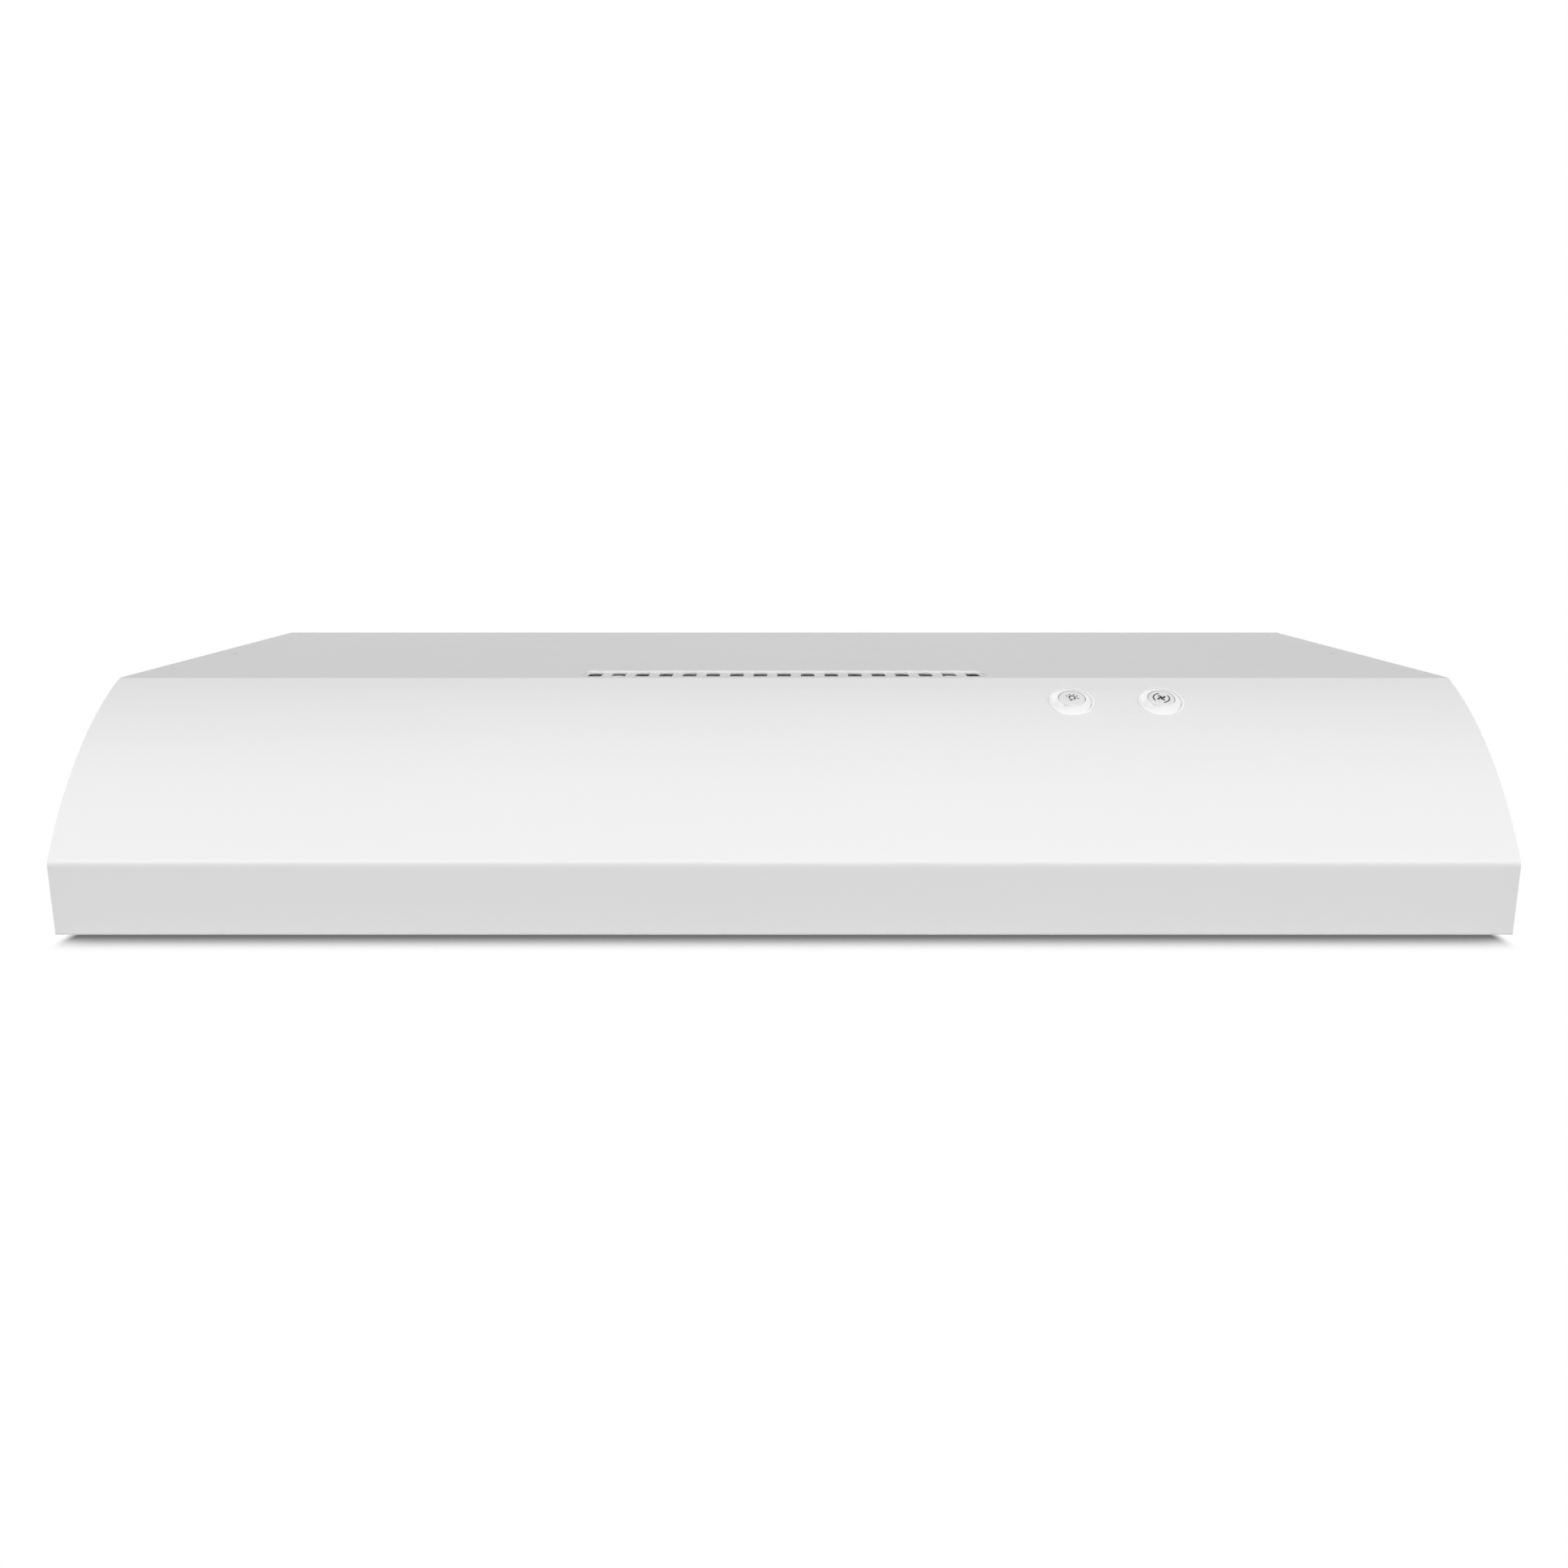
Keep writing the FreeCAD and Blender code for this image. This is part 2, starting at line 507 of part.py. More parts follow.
def make_lamp(name, side):
    """One lamp: trim ring, frosted lens, reflector bulb, ceramic holder and the strap over them."""
    trim = turned(name + "_trim", [
        ("window", "-3"), ("trim_edge - 2.5", "-3", "2.5", 1), ("trim_edge", "-0.5"), ("trim_edge", "0"),
        ("lamp_hole", "0"), ("lamp_hole", "trim_deep"), ("lens", "trim_deep"), ("lens", "1"),
        ("window", "1")])
    lens = turned(name + "_lens", [
        ("0", "-2.2"), ("window", "-1.6"), ("window", "1"), ("lens", "1"), ("lens", "3.4"), ("0", "3.4")])
    bulb = turned(name + "_bulb", [
        ("0", "bulb_low"), ("bulb", "bulb_low"), ("bulb", "bulb_low + 4"), ("21", "24", "60", -1),
        ("bulb_neck", "41"), ("bulb_neck", "socket_low"), ("0", "socket_low")])
    holder = turned(name + "_socket", [
        ("0", "socket_low"), ("socket", "socket_low"), ("socket", "socket_top - 1.5"),
        ("socket - 1.5", "socket_top"), ("0", "socket_top")])
    x, y = f"({side})*lamp_x", "lamp_y"
    for piece in (trim, lens, bulb, holder):
        place(piece, x, y, "pan_low")
    steel, near, rise = "rail_steel", f"{y} - strap_wide/2", "pan_low + socket_top - pan_top"
    pieces = [block(name + "_roof", (f"{x} - strap_half", near, "pan_low + socket_top"),
                    ("2*strap_half", "strap_wide", steel))]
    for i, (leg, foot) in enumerate((("-strap_half", "-strap_half - strap_foot"),
                                     (f"strap_half - {steel}", "strap_half"))):
        pieces.append(block(f"{name}_leg_{i}", (f"{x} + {leg}", near, "pan_top"),
                            (steel, "strap_wide", rise)))
        pieces.append(block(f"{name}_foot_{i}", (f"{x} + {foot}", near, "pan_top"),
                            ("strap_foot", "strap_wide", steel)))
    return [trim, lens, bulb, holder, fuse(name + "_bracket", pieces)]


# ---------------------------------------------------------------- blower
def scroll_line(grow):
    """The scroll's side line from the outlet's roof round to its floor, moved out by grow."""
    a, b, c = f"(scroll + {grow})", f"(scroll + scroll_step + {grow})", f"(scroll + 2*scroll_step + {grow})"
    roof, floor = f"duct_top + {grow}", f"duct_low - {grow}"
    return [
        ("scroll_back", roof),
        (f"blower_y + sqrt({a}^2 - ({roof} - blower_z)^2)", roof, a, 1),
        ("blower_y", f"blower_z + {a}", b, 1),
        (f"blower_y - {b}", "blower_z - scroll_step", c, 1),
        ("blower_y + scroll_step", floor),
        ("scroll_back", floor),
    ]


def make_scroll(name, side):
    """One blower housing: its wrapper and its two side plates, each with an inlet ring."""
    low_x = "motor_bay/2" if side > 0 else "-duct_wide/2"
    run = "(duct_wide - motor_bay)/2"
    wrapper = plate(name + "_wrapper", "YZ_Plane", f"{low_x} + sheet", f"{run} - 2*sheet",
                    lambda s: outline(s, scroll_line("0") + backwards(scroll_line("sheet"))))

    def cheek(sketch):
        outline(sketch, scroll_line("sheet"))
        circle(sketch, "blower_y", "blower_z", "inlet")
    near = plate(name + "_plate_a", "YZ_Plane", low_x, "sheet", cheek)
    far = plate(name + "_plate_b", "YZ_Plane", f"{low_x} + {run} - sheet", "sheet", cheek)
    inner, outer = (near, far) if side > 0 else (far, near)
    return wrapper, inner, outer


def make_wheel(name, side):
    """One squirrel-cage wheel: a disc and boss in the middle, two rims and forward-curved blades."""
    disc = "wheel - 0.6"
    body = turned(name, [("shaft", "-10"), ("hub", "-10"), ("hub", "-1"), (disc, "-1"), (disc, "1"),
                         ("hub", "1"), ("hub", "10"), ("shaft", "10")])
    blade = sketch_on(body, name + "_blade", "XY_Plane")
    foot, tip = "wheel - 10", "wheel - 1.4"
    outline(blade, [(foot, "0", "14", 1), (tip, "5.4"), (f"{tip} - 0.6", "6.2", "13", -1), (foot, "1")])
    first = pad(body, name + "_blade_pad", blade, "wheel_long", midplane=True)
    ring = body.newObject("PartDesign::PolarPattern", name + "_blades")
    ring.Originals = [first]
    ring.Axis = (blade, ["N_Axis"])
    ring.Angle = 360
    ring.setExpression("Occurrences", bound("blade_count"))
    body.Tip = ring
    doc.recompute()
    for i, side_of in enumerate((1, -1)):
        rim = sketch_on(body, f"{name}_rim_{i}", "XY_Plane", f"({side_of})*(wheel_long/2 - wheel_rim)")
        circle(rim, "0", "0", "wheel")
        circle(rim, "0", "0", "wheel - wheel_rim")
        pad(body, f"{name}_rim_pad_{i}", rim, "wheel_rim", reverse=side_of < 0)
    middle = f"({side})*(motor_bay/2 + (duct_wide - motor_bay)/4)"
    return place(body, middle, "blower_y", "blower_z", along="+X")


def make_motor():
    """The motor: can, stator, rotor, shaft, sleeve bearings, rubber rings and the bracket that holds it."""
    at = ("0", "blower_y", "blower_z")
    wall, nose = "can_steel", "motor_half + boss"
    inside, end = f"motor - {wall}", f"motor_half - {wall}"
    can = turned("motor_can", [
        ("hub", nose), ("hub", "motor_half"), ("motor", "motor_half"), ("motor", "-motor_half"),
        ("hub", "-motor_half"), ("hub", f"-({nose})"), ("bearing", f"-({nose})"), ("bearing", f"-({end})"),
        (inside, f"-({end})"), (inside, end), ("bearing", end), ("bearing", nose)])
    stator = turned("motor_stator", [("23", "-18"), (inside, "-18"), (inside, "18"), ("23", "18")])
    rotor = turned("motor_rotor", [("shaft", "-20"), ("22.4", "-20"), ("22.4", "20"), ("shaft", "20")])
    for piece in (can, stator, rotor):
        place(piece, *at, along="+X")
    spindle = rod("motor_shaft", "shaft", "duct_wide - 6", ("3 - duct_wide/2", "blower_y", "blower_z"),
                  along="+X")

    def ring(name, x, outer, inner, long):
        foot = (x, "blower_y", "blower_z")
        return cut(name, rod(name + "_out", outer, long, foot, along="+X"),
                   [rod(name + "_in", inner, long, foot, along="+X")])
    bore, long = "shaft + bearing_gap", "boss + 1"
    bushes = together("motor_bushings", [ring("bush_left", f"-({nose})", "bearing", bore, long),
                                         ring("bush_right", f"{nose} - ({long})", "bearing", bore, long)])
    rubber = ("rubber", "hub", "rubber_long")
    rubbers = together("motor_grommets", [ring("rubber_left", "-motor_half - 9", *rubber),
                                          ring("rubber_right", "motor_half + 3", *rubber)])
    roof_z, arm_foot = "under - plate", "18"
    arms = []
    for i, x in enumerate(("-motor_half - 7", "motor_half + 5")):
        arm = block(f"arm_{i}", (x, "blower_y - arm_half", f"blower_z - {arm_foot}"),
                    ("arm", "2*arm_half", f"{roof_z} - blower_z + {arm_foot}"))
        bored = rod(f"arm_{i}_bore", "rubber", "arm", (x, "blower_y", "blower_z"), along="+X")
        arms.append(cut(f"arm_{i}_bored", arm, [bored]))
    roof = block("bracket_roof", ("-motor_half - 7", "blower_y - 45", roof_z),
                 ("2*(motor_half + 7)", "90", "plate"))
    return can, stator, rotor, spindle, bushes, rubbers, fuse("motor_bracket", [roof, *arms])


def make_plenum():
    """The duct from both scrolls to the back sheet, with a web that closes the motor bay."""
    low = ("-duct_wide/2 - sheet", "scroll_back", "duct_low - sheet")
    run = "back - sheet - scroll_back"
    out = block("plenum_out", low, ("duct_wide + 2*sheet", run, "duct_high + 2*sheet"))
    way = block("plenum_in", ("-duct_wide/2", "scroll_back", "duct_low"), ("duct_wide", run, "duct_high"))
    shell = cut("plenum_shell", out, [way])
    web = block("plenum_web", ("-motor_bay/2", "scroll_back", "duct_low"),
                ("motor_bay", "sheet", "duct_high"))
    return fuse("outlet_plenum", [shell, web])


def make_capacitor():
    body = plate("run_capacitor", "XY_Plane", "under - 32", "32",
                 lambda s: rounded(s, "172", "blower_y - 20", "44", "24", "3"))
    soften(body, "capacitor_edge", "1.5", lambda e: e.BoundBox.ZLength < 1e-6
           and abs(e.BoundBox.ZMin - number("under - 32")) < 1e-6)
    return body


# ---------------------------------------------------------------- duct collar and flap
def make_collar():
    """The duct collar with its screw flange, the flap's stop and the holes for the rod."""
    wide, high = "duct_wide/2 + collar_edge", "duct_high/2 + collar_edge"
    flange = block("collar_flange", (f"-({wide})", "back", f"duct_mid - ({high})"),
                   (f"2*({wide})", "sheet", f"2*({high})"))
    tube = block("collar_tube", ("-duct_wide/2 - sheet", "back", "duct_low - sheet"),
                 ("duct_wide + 2*sheet", "collar_out", "duct_high + 2*sheet"))
    bore = block("collar_bore", ("-duct_wide/2", "back - 1", "duct_low"),
                 ("duct_wide", "collar_out + 2", "duct_high"))
    eyes = rod("collar_eyes", "rod + rod_gap", "duct_wide + 20", ("-duct_wide/2 - 10", "flap_y", "flap_z"),
               along="+X")
    stop = block("collar_stop", ("-duct_wide/2", "flap_y - 1.6", "duct_low"), ("duct_wide", "1.1", "5"))
    return fuse("duct_collar", [cut("collar_body", fuse("collar_solid", [flange, tube]), [bore, eyes]), stop])


def make_flap():
    """The back-draught flap, rolled round its rod."""
    half_long = "duct_wide/2 - 2.5"
    leaf = block("flap_leaf", (f"-({half_long})", "flap_y - leaf/2", "duct_low + leaf_gap"),
                 (f"2*({half_long})", "leaf", "flap_z - duct_low - leaf_gap"))
    hinge = (f"-({half_long})", "flap_y", "flap_z")
    roll = rod("flap_roll", "rod + 1.3", f"2*({half_long})", hinge, along="+X")
    bore = rod("flap_bore", "rod", f"2*({half_long})", hinge, along="+X")
    return cut("damper_flap", fuse("flap_solid", [leaf, roll]), [bore])


# ---------------------------------------------------------------- buttons, board and wiring
def front_point(index, x=0, along=0, out=0):
    """A point by a button: x across, along up the slope and out from the sheet."""
    return (f"light_x + {index}*button_pitch + {x}",
            f"button_y + ({along})*cos(button_tilt) - ({out})*sin(button_tilt)",
            f"button_z + ({along})*sin(button_tilt) + ({out})*cos(button_tilt)")


def on_front(item, index, x=0, along=0, out=0):
    """Places an item by a button, square to the sheet there."""
    return place(item, *front_point(index, x, along, out), tilt="button_tilt")


def make_button(name, index):
    """One push button: dished bezel, cap set off centre in it, switch and plunger behind."""
    bezel = new_body(name + "_bezel")
    barrel = circle(sketch_on(bezel, name + "_barrel", "XY_Plane"), "0", "0", "bezel_barrel")
    pad(bezel, name + "_barrel_pad", barrel, "barrel_deep", reverse=True)
    rim = circle(sketch_on(bezel, name + "_rim", "XY_Plane"), "rim_across", "rim_up", "bezel_rim")
    pad(bezel, name + "_rim_pad", rim, "bezel_high")
    soften(bezel, name + "_rim_round", "0.9", lambda e: abs(e.BoundBox.ZMin - number("bezel_high")) < 1e-6)
    top = circle(sketch_on(bezel, name + "_dish_top", "XY_Plane", "bezel_high"), "0", "0", "dish")
    low = circle(sketch_on(bezel, name + "_dish_low", "XY_Plane", "-dish_deep"), "cap_across", "cap_up",
                 "cap + cap_gap")
    before = bezel.Shape.Volume
    dish = bezel.newObject("PartDesign::SubtractiveLoft", name + "_dish")
    dish.Profile = top
    dish.Sections = [low]
    doc.recompute()
    if bezel.Shape.Volume > before - 1:
        raise RuntimeError("the dish cut nothing")
    guide = circle(sketch_on(bezel, name + "_guide", "XY_Plane", "0.5 - dish_deep"), "cap_across", "cap_up",
                   "cap + cap_gap")
    pocket(bezel, name + "_guide_cut", guide, "barrel_deep")
    on_front(bezel, index)

    lug_top, lug_low = "-barrel_deep - 0.2", "-barrel_deep - 1.4"
    stem_end, end = "2.2 - switch_top", "-switch_top - 1.3"
    cap = turned(name + "_cap", [
        ("0", stem_end), ("stem", stem_end), ("stem", lug_low), ("cap + cap_lug", lug_low),
        ("cap + cap_lug", lug_top), ("cap", lug_top), ("cap", "cap_high - 1", "1", 1),
        ("cap - 1", "cap_high"), ("0", "cap_high + 0.3")])
    plunger = turned(name + "_plunger", [
        ("0", end), ("plunger", end), ("plunger", stem_end), ("0", stem_end)])
    housing = new_body(name + "_switch")
    square = sketch_on(housing, name + "_switch_line", "XY_Plane", "-switch_top - switch_high")
    rounded(square, "0", "0", "switch_side", "switch_side", "0.8")
    pad(housing, name + "_switch_pad", square, "switch_high")
    well = sketch_on(housing, name + "_switch_well", "XY_Plane", "-switch_top")
    pocket(housing, name + "_switch_well_cut", circle(well, "0", "0", "plunger + 0.2"), "3.6")
    for piece in (cap, plunger, housing):
        on_front(piece, index, "cap_across", "cap_up")
    return bezel, cap, plunger, housing


def make_board():
    """The circuit board behind the two switches, with its relay, its supply block and its plug."""
    body = new_body("control_board")
    face = "-switch_top - switch_high"
    line = rounded(sketch_on(body, "board_line", "XY_Plane", f"{face} - board_thick"), "0", "0", "board_long",
                   "board_wide", "2")
    pad(body, "board_pad", line, "board_thick")
    on_board = [(0, 10, 18, 15, 12), (-4, -12, 12, 10, 8), (44, -14, 14, 10, 9)]
    for i, (x, y, long, wide, high) in enumerate(on_board):
        part = sketch_on(body, f"board_part_{i}", "XY_Plane", face)
        rounded(part, str(x), str(y), str(long), str(wide), "0.6")
        pad(body, f"board_part_pad_{i}", part, str(high))
    return on_front(body, 0.5)


def make_control_box():
    """The plastic tray that closes the board in from below, with posts for the board's screws."""
    body = new_body("control_box")
    outer = rounded(sketch_on(body, "box_line", "XY_Plane", "-board_tray_deep"), "0", "0", "board_tray_long",
                    "board_tray_wide", "4")
    pad(body, "box_pad", outer, "board_tray_deep")
    floor = "board_tray_wall - board_tray_deep"
    inner = rounded(sketch_on(body, "box_hollow", "XY_Plane", floor), "0", "0",
                    "board_tray_long - 2*board_tray_wall", "board_tray_wide - 2*board_tray_wall", "2")
    pocket(body, "box_hollow_cut", inner, "board_tray_deep", reverse=True)
    posts = sketch_on(body, "box_posts", "XY_Plane", floor)
    for x in (-1, 1):
        for y in (-1, 1):
            circle(posts, f"({x})*(board_long/2 - 6)", f"({y})*(board_wide/2 - 5)", "3")
    board_low = "switch_top + switch_high + board_thick"
    pad(body, "box_posts_pad", posts, f"board_tray_deep - board_tray_wall - ({board_low})")
    on_front(body, 0.5)
    inside = rod("canopy_inside", "front_arc - sheet", "200", ("light_x - 70", "arc_y", "arc_z"), along="+X")
    fitted = doc.addObject("Part::Common", "control_box_fitted")
    fitted.Base, fitted.Tool = body, inside
    return fitted


def make_wiring():
    """The wiring box in the back right corner, its terminal block and the cable bushing."""
    low = ("box_left", "back - sheet - box_deep", "box_low")
    size = ("box_right - box_left", "box_deep", "under - box_low")
    hollow = block("wiring_hollow", ("box_left + sheet", "back - box_deep", "box_low + sheet"),
                   ("box_right - box_left - 2*sheet", "box_deep + 5", "tall"))
    box = cut("wiring_box", block("wiring_out", low, size), [hollow])
    block_body = block("terminal_body", ("cable_x - 24", "back - 70", "box_low + sheet"), ("48", "18", "14"))
    wells = [block(f"terminal_well_{i}", (f"cable_x - 20 + {16 * i}", "back - 68", "box_low + sheet + 8"),
                   ("8", "14", "10")) for i in range(3)]
    terminals = cut("terminal_block", block_body, wells)
    lip = "cable_flange - 1"
    bush = turned("cable_bushing", [("cable_bore", "-8"), ("cable_hole + 1", "-8"), (lip, "-sheet"),
                                    ("cable_hole", "-sheet"), ("cable_hole", "0"), ("cable_flange", "0"),
                                    ("cable_flange", "2.5"), ("cable_bore", "2.5")])
    place(bush, "cable_x", "back", "cable_z", along="+Y")
    return box, terminals, bush


def wire_tube(points):
    """A round wire bundle on straight runs joined by tangent arcs, each as large as its runs allow."""
    places = [Vector(*[number(text) for text in point]) for point in points]
    edges, last = [], places[0]
    for before, corner, after in zip(places, places[1:], places[2:]):
        back_run, on_run = (before - corner), (after - corner)
        half_turn = (math.pi - back_run.getAngle(on_run)) / 2
        reach = 0.45 * min(back_run.Length, on_run.Length)
        start = corner + back_run.normalize() * reach
        end = corner + on_run.normalize() * reach
        bend = reach / math.tan(half_turn)
        towards = (back_run + on_run).normalize()
        middle = corner + towards * (bend / math.cos(half_turn) - bend)
        edges += [Part.LineSegment(last, start).toShape(), Part.Arc(start, middle, end).toShape()]
        last = end
    edges.append(Part.LineSegment(last, places[-1]).toShape())
    path = Part.Wire(edges)
    section = Part.Wire(Part.makeCircle(number("wire"), places[0], places[1] - places[0]))
    return path.makePipeShell([section], True, False)


def make_harness():
    """The wire bundles from the control box to the lamps, the motor and the wiring box."""
    low_left, high_left = [front_point(0.5, "-board_tray_long/2", up, "-18") for up in ("-8", "10")]
    low_right, high_right = [front_point(0.5, "board_tray_long/2", up, "-18") for up in ("-8", "10")]
    to_left_lamp = [
        low_left, front_point(0.5, "-106", "-8", "-18"), ("50", "-158", "104"), ("-8", "-155", "100"),
        ("-66", "-150", "97"), ("-124", "-149", "94"), ("-182", "-145", "92"), ("-238", "-140", "88"),
        ("-284", "-130", "85"), ("-314", "-126", "83"), ("-lamp_x", "lamp_y + 36", "82"),
        ("-lamp_x", "lamp_y + socket", "82")]
    to_right_lamp = [
        low_right, front_point(0.5, "80", "-8", "-18"), ("314", "-144", "108"), ("321", "-129", "98"),
        ("322", "-130", "88"), ("lamp_x", "lamp_y + 36", "82"), ("lamp_x", "lamp_y + socket", "82")]
    to_motor = [
        high_left, front_point(0.5, "-92", "10", "-18"), ("98", "-116", "112"), ("70", "-70", "107"),
        ("48", "-26", "109"), ("22", "10", "103"), ("0", "blower_y - motor - 28", "blower_z"),
        ("0", "blower_y - motor", "blower_z")]
    to_wiring_box = [
        high_right, front_point(0.5, "92", "10", "-18"), ("340", "-98", "126"), ("352", "-34", "124"),
        ("356", "20", "120"), ("352", "66", "116"), ("350", "106", "111"),
        ("350", "back - sheet - box_deep", "111")]
    routes = [to_left_lamp, to_right_lamp, to_motor, to_wiring_box]
    item = doc.addObject("Part::Feature", "wire_harness")
    item.Shape = Part.makeCompound([wire_tube(route) for route in routes])
    return item


# ---------------------------------------------------------------- screws
def screw(name, head, shank, long, at, along):
    """A screw whose head's underside is at a point; along is the way its head faces."""
    backward = {"-Z": "+Z", "+Y": "-Y"}[along]
    return fuse(name, [rod(name + "_head", head, f"0.64*{head}", at, along=along),
                       rod(name + "_shank", shank, long, at, along=backward)])


def collar_screw_places():
    wide, high = "(duct_wide/2 + collar_edge/2)", "(duct_high/2 + collar_edge/2)"
    places = [(f"({i})*{wide}", f"duct_mid + ({j})*{high}*0.96") for i in (-1, 1) for j in (-1, 1)]
    return places + [("0", f"duct_mid + ({j})*{high}*0.96") for j in (-1, 1)]


def pan_screw_places():
    return [(f"({i})*pan_screw_x", f"front + {j}") for i in (-1, 1) for j in (70, 250, 430)]


def make_screws():
    """Screws in two groups: those that hold the collar, and those that hold the pan."""
    collar = [screw(f"collar_screw_{i}", "collar_head", "collar_shank", "8", (x, "back + sheet", z), "+Y")
              for i, (x, z) in enumerate(collar_screw_places())]
    pan = [screw(f"pan_screw_{i}", "pan_head", "pan_shank", "7", (x, y, "pan_low"), "-Z")
           for i, (x, y) in enumerate(pan_screw_places())]
    return together("collar_screws", collar), together("pan_screws", pan)


# ---------------------------------------------------------------- the assembly
def assemble():
    """Makes every sub-part and returns them by node name."""
    parts = {}
    wrap = make_wrap()
    side_left, side_right = make_side("side_left", -1), make_side("side_right", 1)
    back = make_back()
    pan = make_pan()
    rail_left, rail_right = make_rail("rail_left", -1), make_rail("rail_right", 1)
    collar = make_collar()
    collar_screws, pan_screws = make_screws()

    pan_holes = [rod(f"pan_screw_hole_{i}", "pan_shank", "10", (x, y, "pan_low - 4"))
                 for i, (x, y) in enumerate(pan_screw_places())]
    collar_holes = [rod(f"collar_screw_hole_{i}", "collar_shank", "10", (x, "back - 5", z), along="+Y")
                    for i, (x, z) in enumerate(collar_screw_places())]
    parts["canopy_wrap"] = wrap
    parts["side_panel_left"], parts["side_panel_right"] = side_left, side_right
    parts["back_panel"] = cut("back_drilled", back, collar_holes)
    parts["bottom_pan"] = cut("pan_drilled", pan, pan_holes)
    parts["pan_rail_left"] = cut("rail_left_drilled", rail_left, pan_holes[:3])
    parts["pan_rail_right"] = cut("rail_right_drilled", rail_right, pan_holes[3:])
    parts["duct_collar"] = cut("collar_drilled", collar, collar_holes)
    parts["collar_screws"], parts["pan_screws"] = collar_screws, pan_screws
    parts["vent_deflector"] = make_deflector()

    for word, side in (("left", -1), ("right", 1)):
        frame, mesh, pull = make_filter("filter_" + word, side)
        parts[f"filter_{word}_frame"], parts[f"filter_{word}_mesh"] = frame, mesh
        parts[f"filter_{word}_latch"] = pull
        lamp = make_lamp("lamp_" + word, side)
        for kind, piece in zip(("trim", "lens", "bulb", "socket", "bracket"), lamp):
            parts[f"lamp_{word}_{kind}"] = piece
        wrapper, inner, outer = make_scroll("scroll_" + word, side)
        parts[f"scroll_{word}_wrapper"] = wrapper
        parts[f"scroll_{word}_inner_plate"], parts[f"scroll_{word}_outer_plate"] = inner, outer
        parts[f"blower_wheel_{word}"] = make_wheel("wheel_" + word, side)

    names = ("motor_can", "motor_stator", "motor_rotor", "motor_shaft", "motor_bushings", "motor_grommets",
             "motor_bracket")
    parts.update(zip(names, make_motor()))
    parts["outlet_plenum"] = make_plenum()
    parts["run_capacitor"] = make_capacitor()
    parts["damper_flap"] = make_flap()
    parts["damper_rod"] = rod("damper_rod", "rod", "duct_wide + 8", ("-duct_wide/2 - 4", "flap_y", "flap_z"),
                              along="+X")
    for index, word in enumerate(("light", "fan")):
        bezel, cap, plunger, housing = make_button(word, index)
        parts[f"{word}_button_bezel"], parts[f"{word}_button_cap"] = bezel, cap
        parts[f"{word}_switch_plunger"], parts[f"{word}_switch_body"] = plunger, housing
    parts["control_board"] = make_board()
    parts["control_box"] = make_control_box()
    parts["wiring_box"], parts["terminal_block"], parts["cable_bushing"] = make_wiring()
    parts["wire_harness"] = make_harness()
    return parts


def main():
    parts = assemble()
    doc.recompute()
    for item in doc.Objects:
        bad = {"Invalid", "Error"} & set(item.State)
        if bad:
            raise RuntimeError(f"{item.Name} is {bad}")
    for node, item in parts.items():
        if item.Shape.isNull() or not item.Shape.isValid() or not item.Shape.Solids:
            raise RuntimeError(f"{node} has no valid solid")
    os.makedirs("parts", exist_ok=True)
    for node, item in parts.items():
        item.Label = node
        item.Shape.exportStep(f"parts/{node}.step")
        box = item.Shape.BoundBox
        print(f"{node:26s} solids {len(item.Shape.Solids):2d} volume {item.Shape.Volume / 1000:9.2f} cm3  "
              f"x {box.XMin:7.1f} {box.XMax:7.1f}  y {box.YMin:7.1f} {box.YMax:7.1f}  "
              f"z {box.ZMin:6.1f} {box.ZMax:6.1f}")
    print(len(parts), "nodes")


main()
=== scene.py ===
"""The looks of the under-cabinet range hood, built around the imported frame.

The camera and the studio come first, then the materials, then the pieces that stand for CAD nodes with
finer shapes: buttons, filters, lamps, screws, the flap and the wires. The scene is in metres in the row
frame. The pieces are drawn in millimetres, which point() and MM turn into metres.
"""

import json
import math

import bmesh
import bpy
from mathutils import Matrix, Vector


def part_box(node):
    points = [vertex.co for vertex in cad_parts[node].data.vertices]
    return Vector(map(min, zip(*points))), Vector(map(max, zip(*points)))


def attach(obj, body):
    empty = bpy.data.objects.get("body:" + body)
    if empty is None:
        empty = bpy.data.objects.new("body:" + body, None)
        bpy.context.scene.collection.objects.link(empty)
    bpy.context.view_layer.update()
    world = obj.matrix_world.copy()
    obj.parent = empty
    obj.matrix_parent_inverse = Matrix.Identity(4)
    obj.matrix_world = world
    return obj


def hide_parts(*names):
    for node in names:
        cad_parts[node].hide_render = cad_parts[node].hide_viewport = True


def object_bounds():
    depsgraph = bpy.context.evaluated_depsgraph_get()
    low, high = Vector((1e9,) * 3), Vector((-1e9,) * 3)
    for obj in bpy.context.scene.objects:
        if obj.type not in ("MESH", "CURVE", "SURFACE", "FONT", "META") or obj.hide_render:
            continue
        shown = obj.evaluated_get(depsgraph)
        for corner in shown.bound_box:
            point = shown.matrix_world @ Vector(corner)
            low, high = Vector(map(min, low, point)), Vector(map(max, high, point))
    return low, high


MM = 0.001
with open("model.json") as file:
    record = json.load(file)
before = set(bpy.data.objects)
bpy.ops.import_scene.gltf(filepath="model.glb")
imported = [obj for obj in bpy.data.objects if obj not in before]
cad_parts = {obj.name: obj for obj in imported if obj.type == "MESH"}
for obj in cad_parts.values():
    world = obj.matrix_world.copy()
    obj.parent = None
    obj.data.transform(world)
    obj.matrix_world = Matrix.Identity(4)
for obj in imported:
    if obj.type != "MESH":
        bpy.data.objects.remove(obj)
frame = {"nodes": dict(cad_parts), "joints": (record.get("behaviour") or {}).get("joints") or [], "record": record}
cad_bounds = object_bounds()
nodes = frame["nodes"]


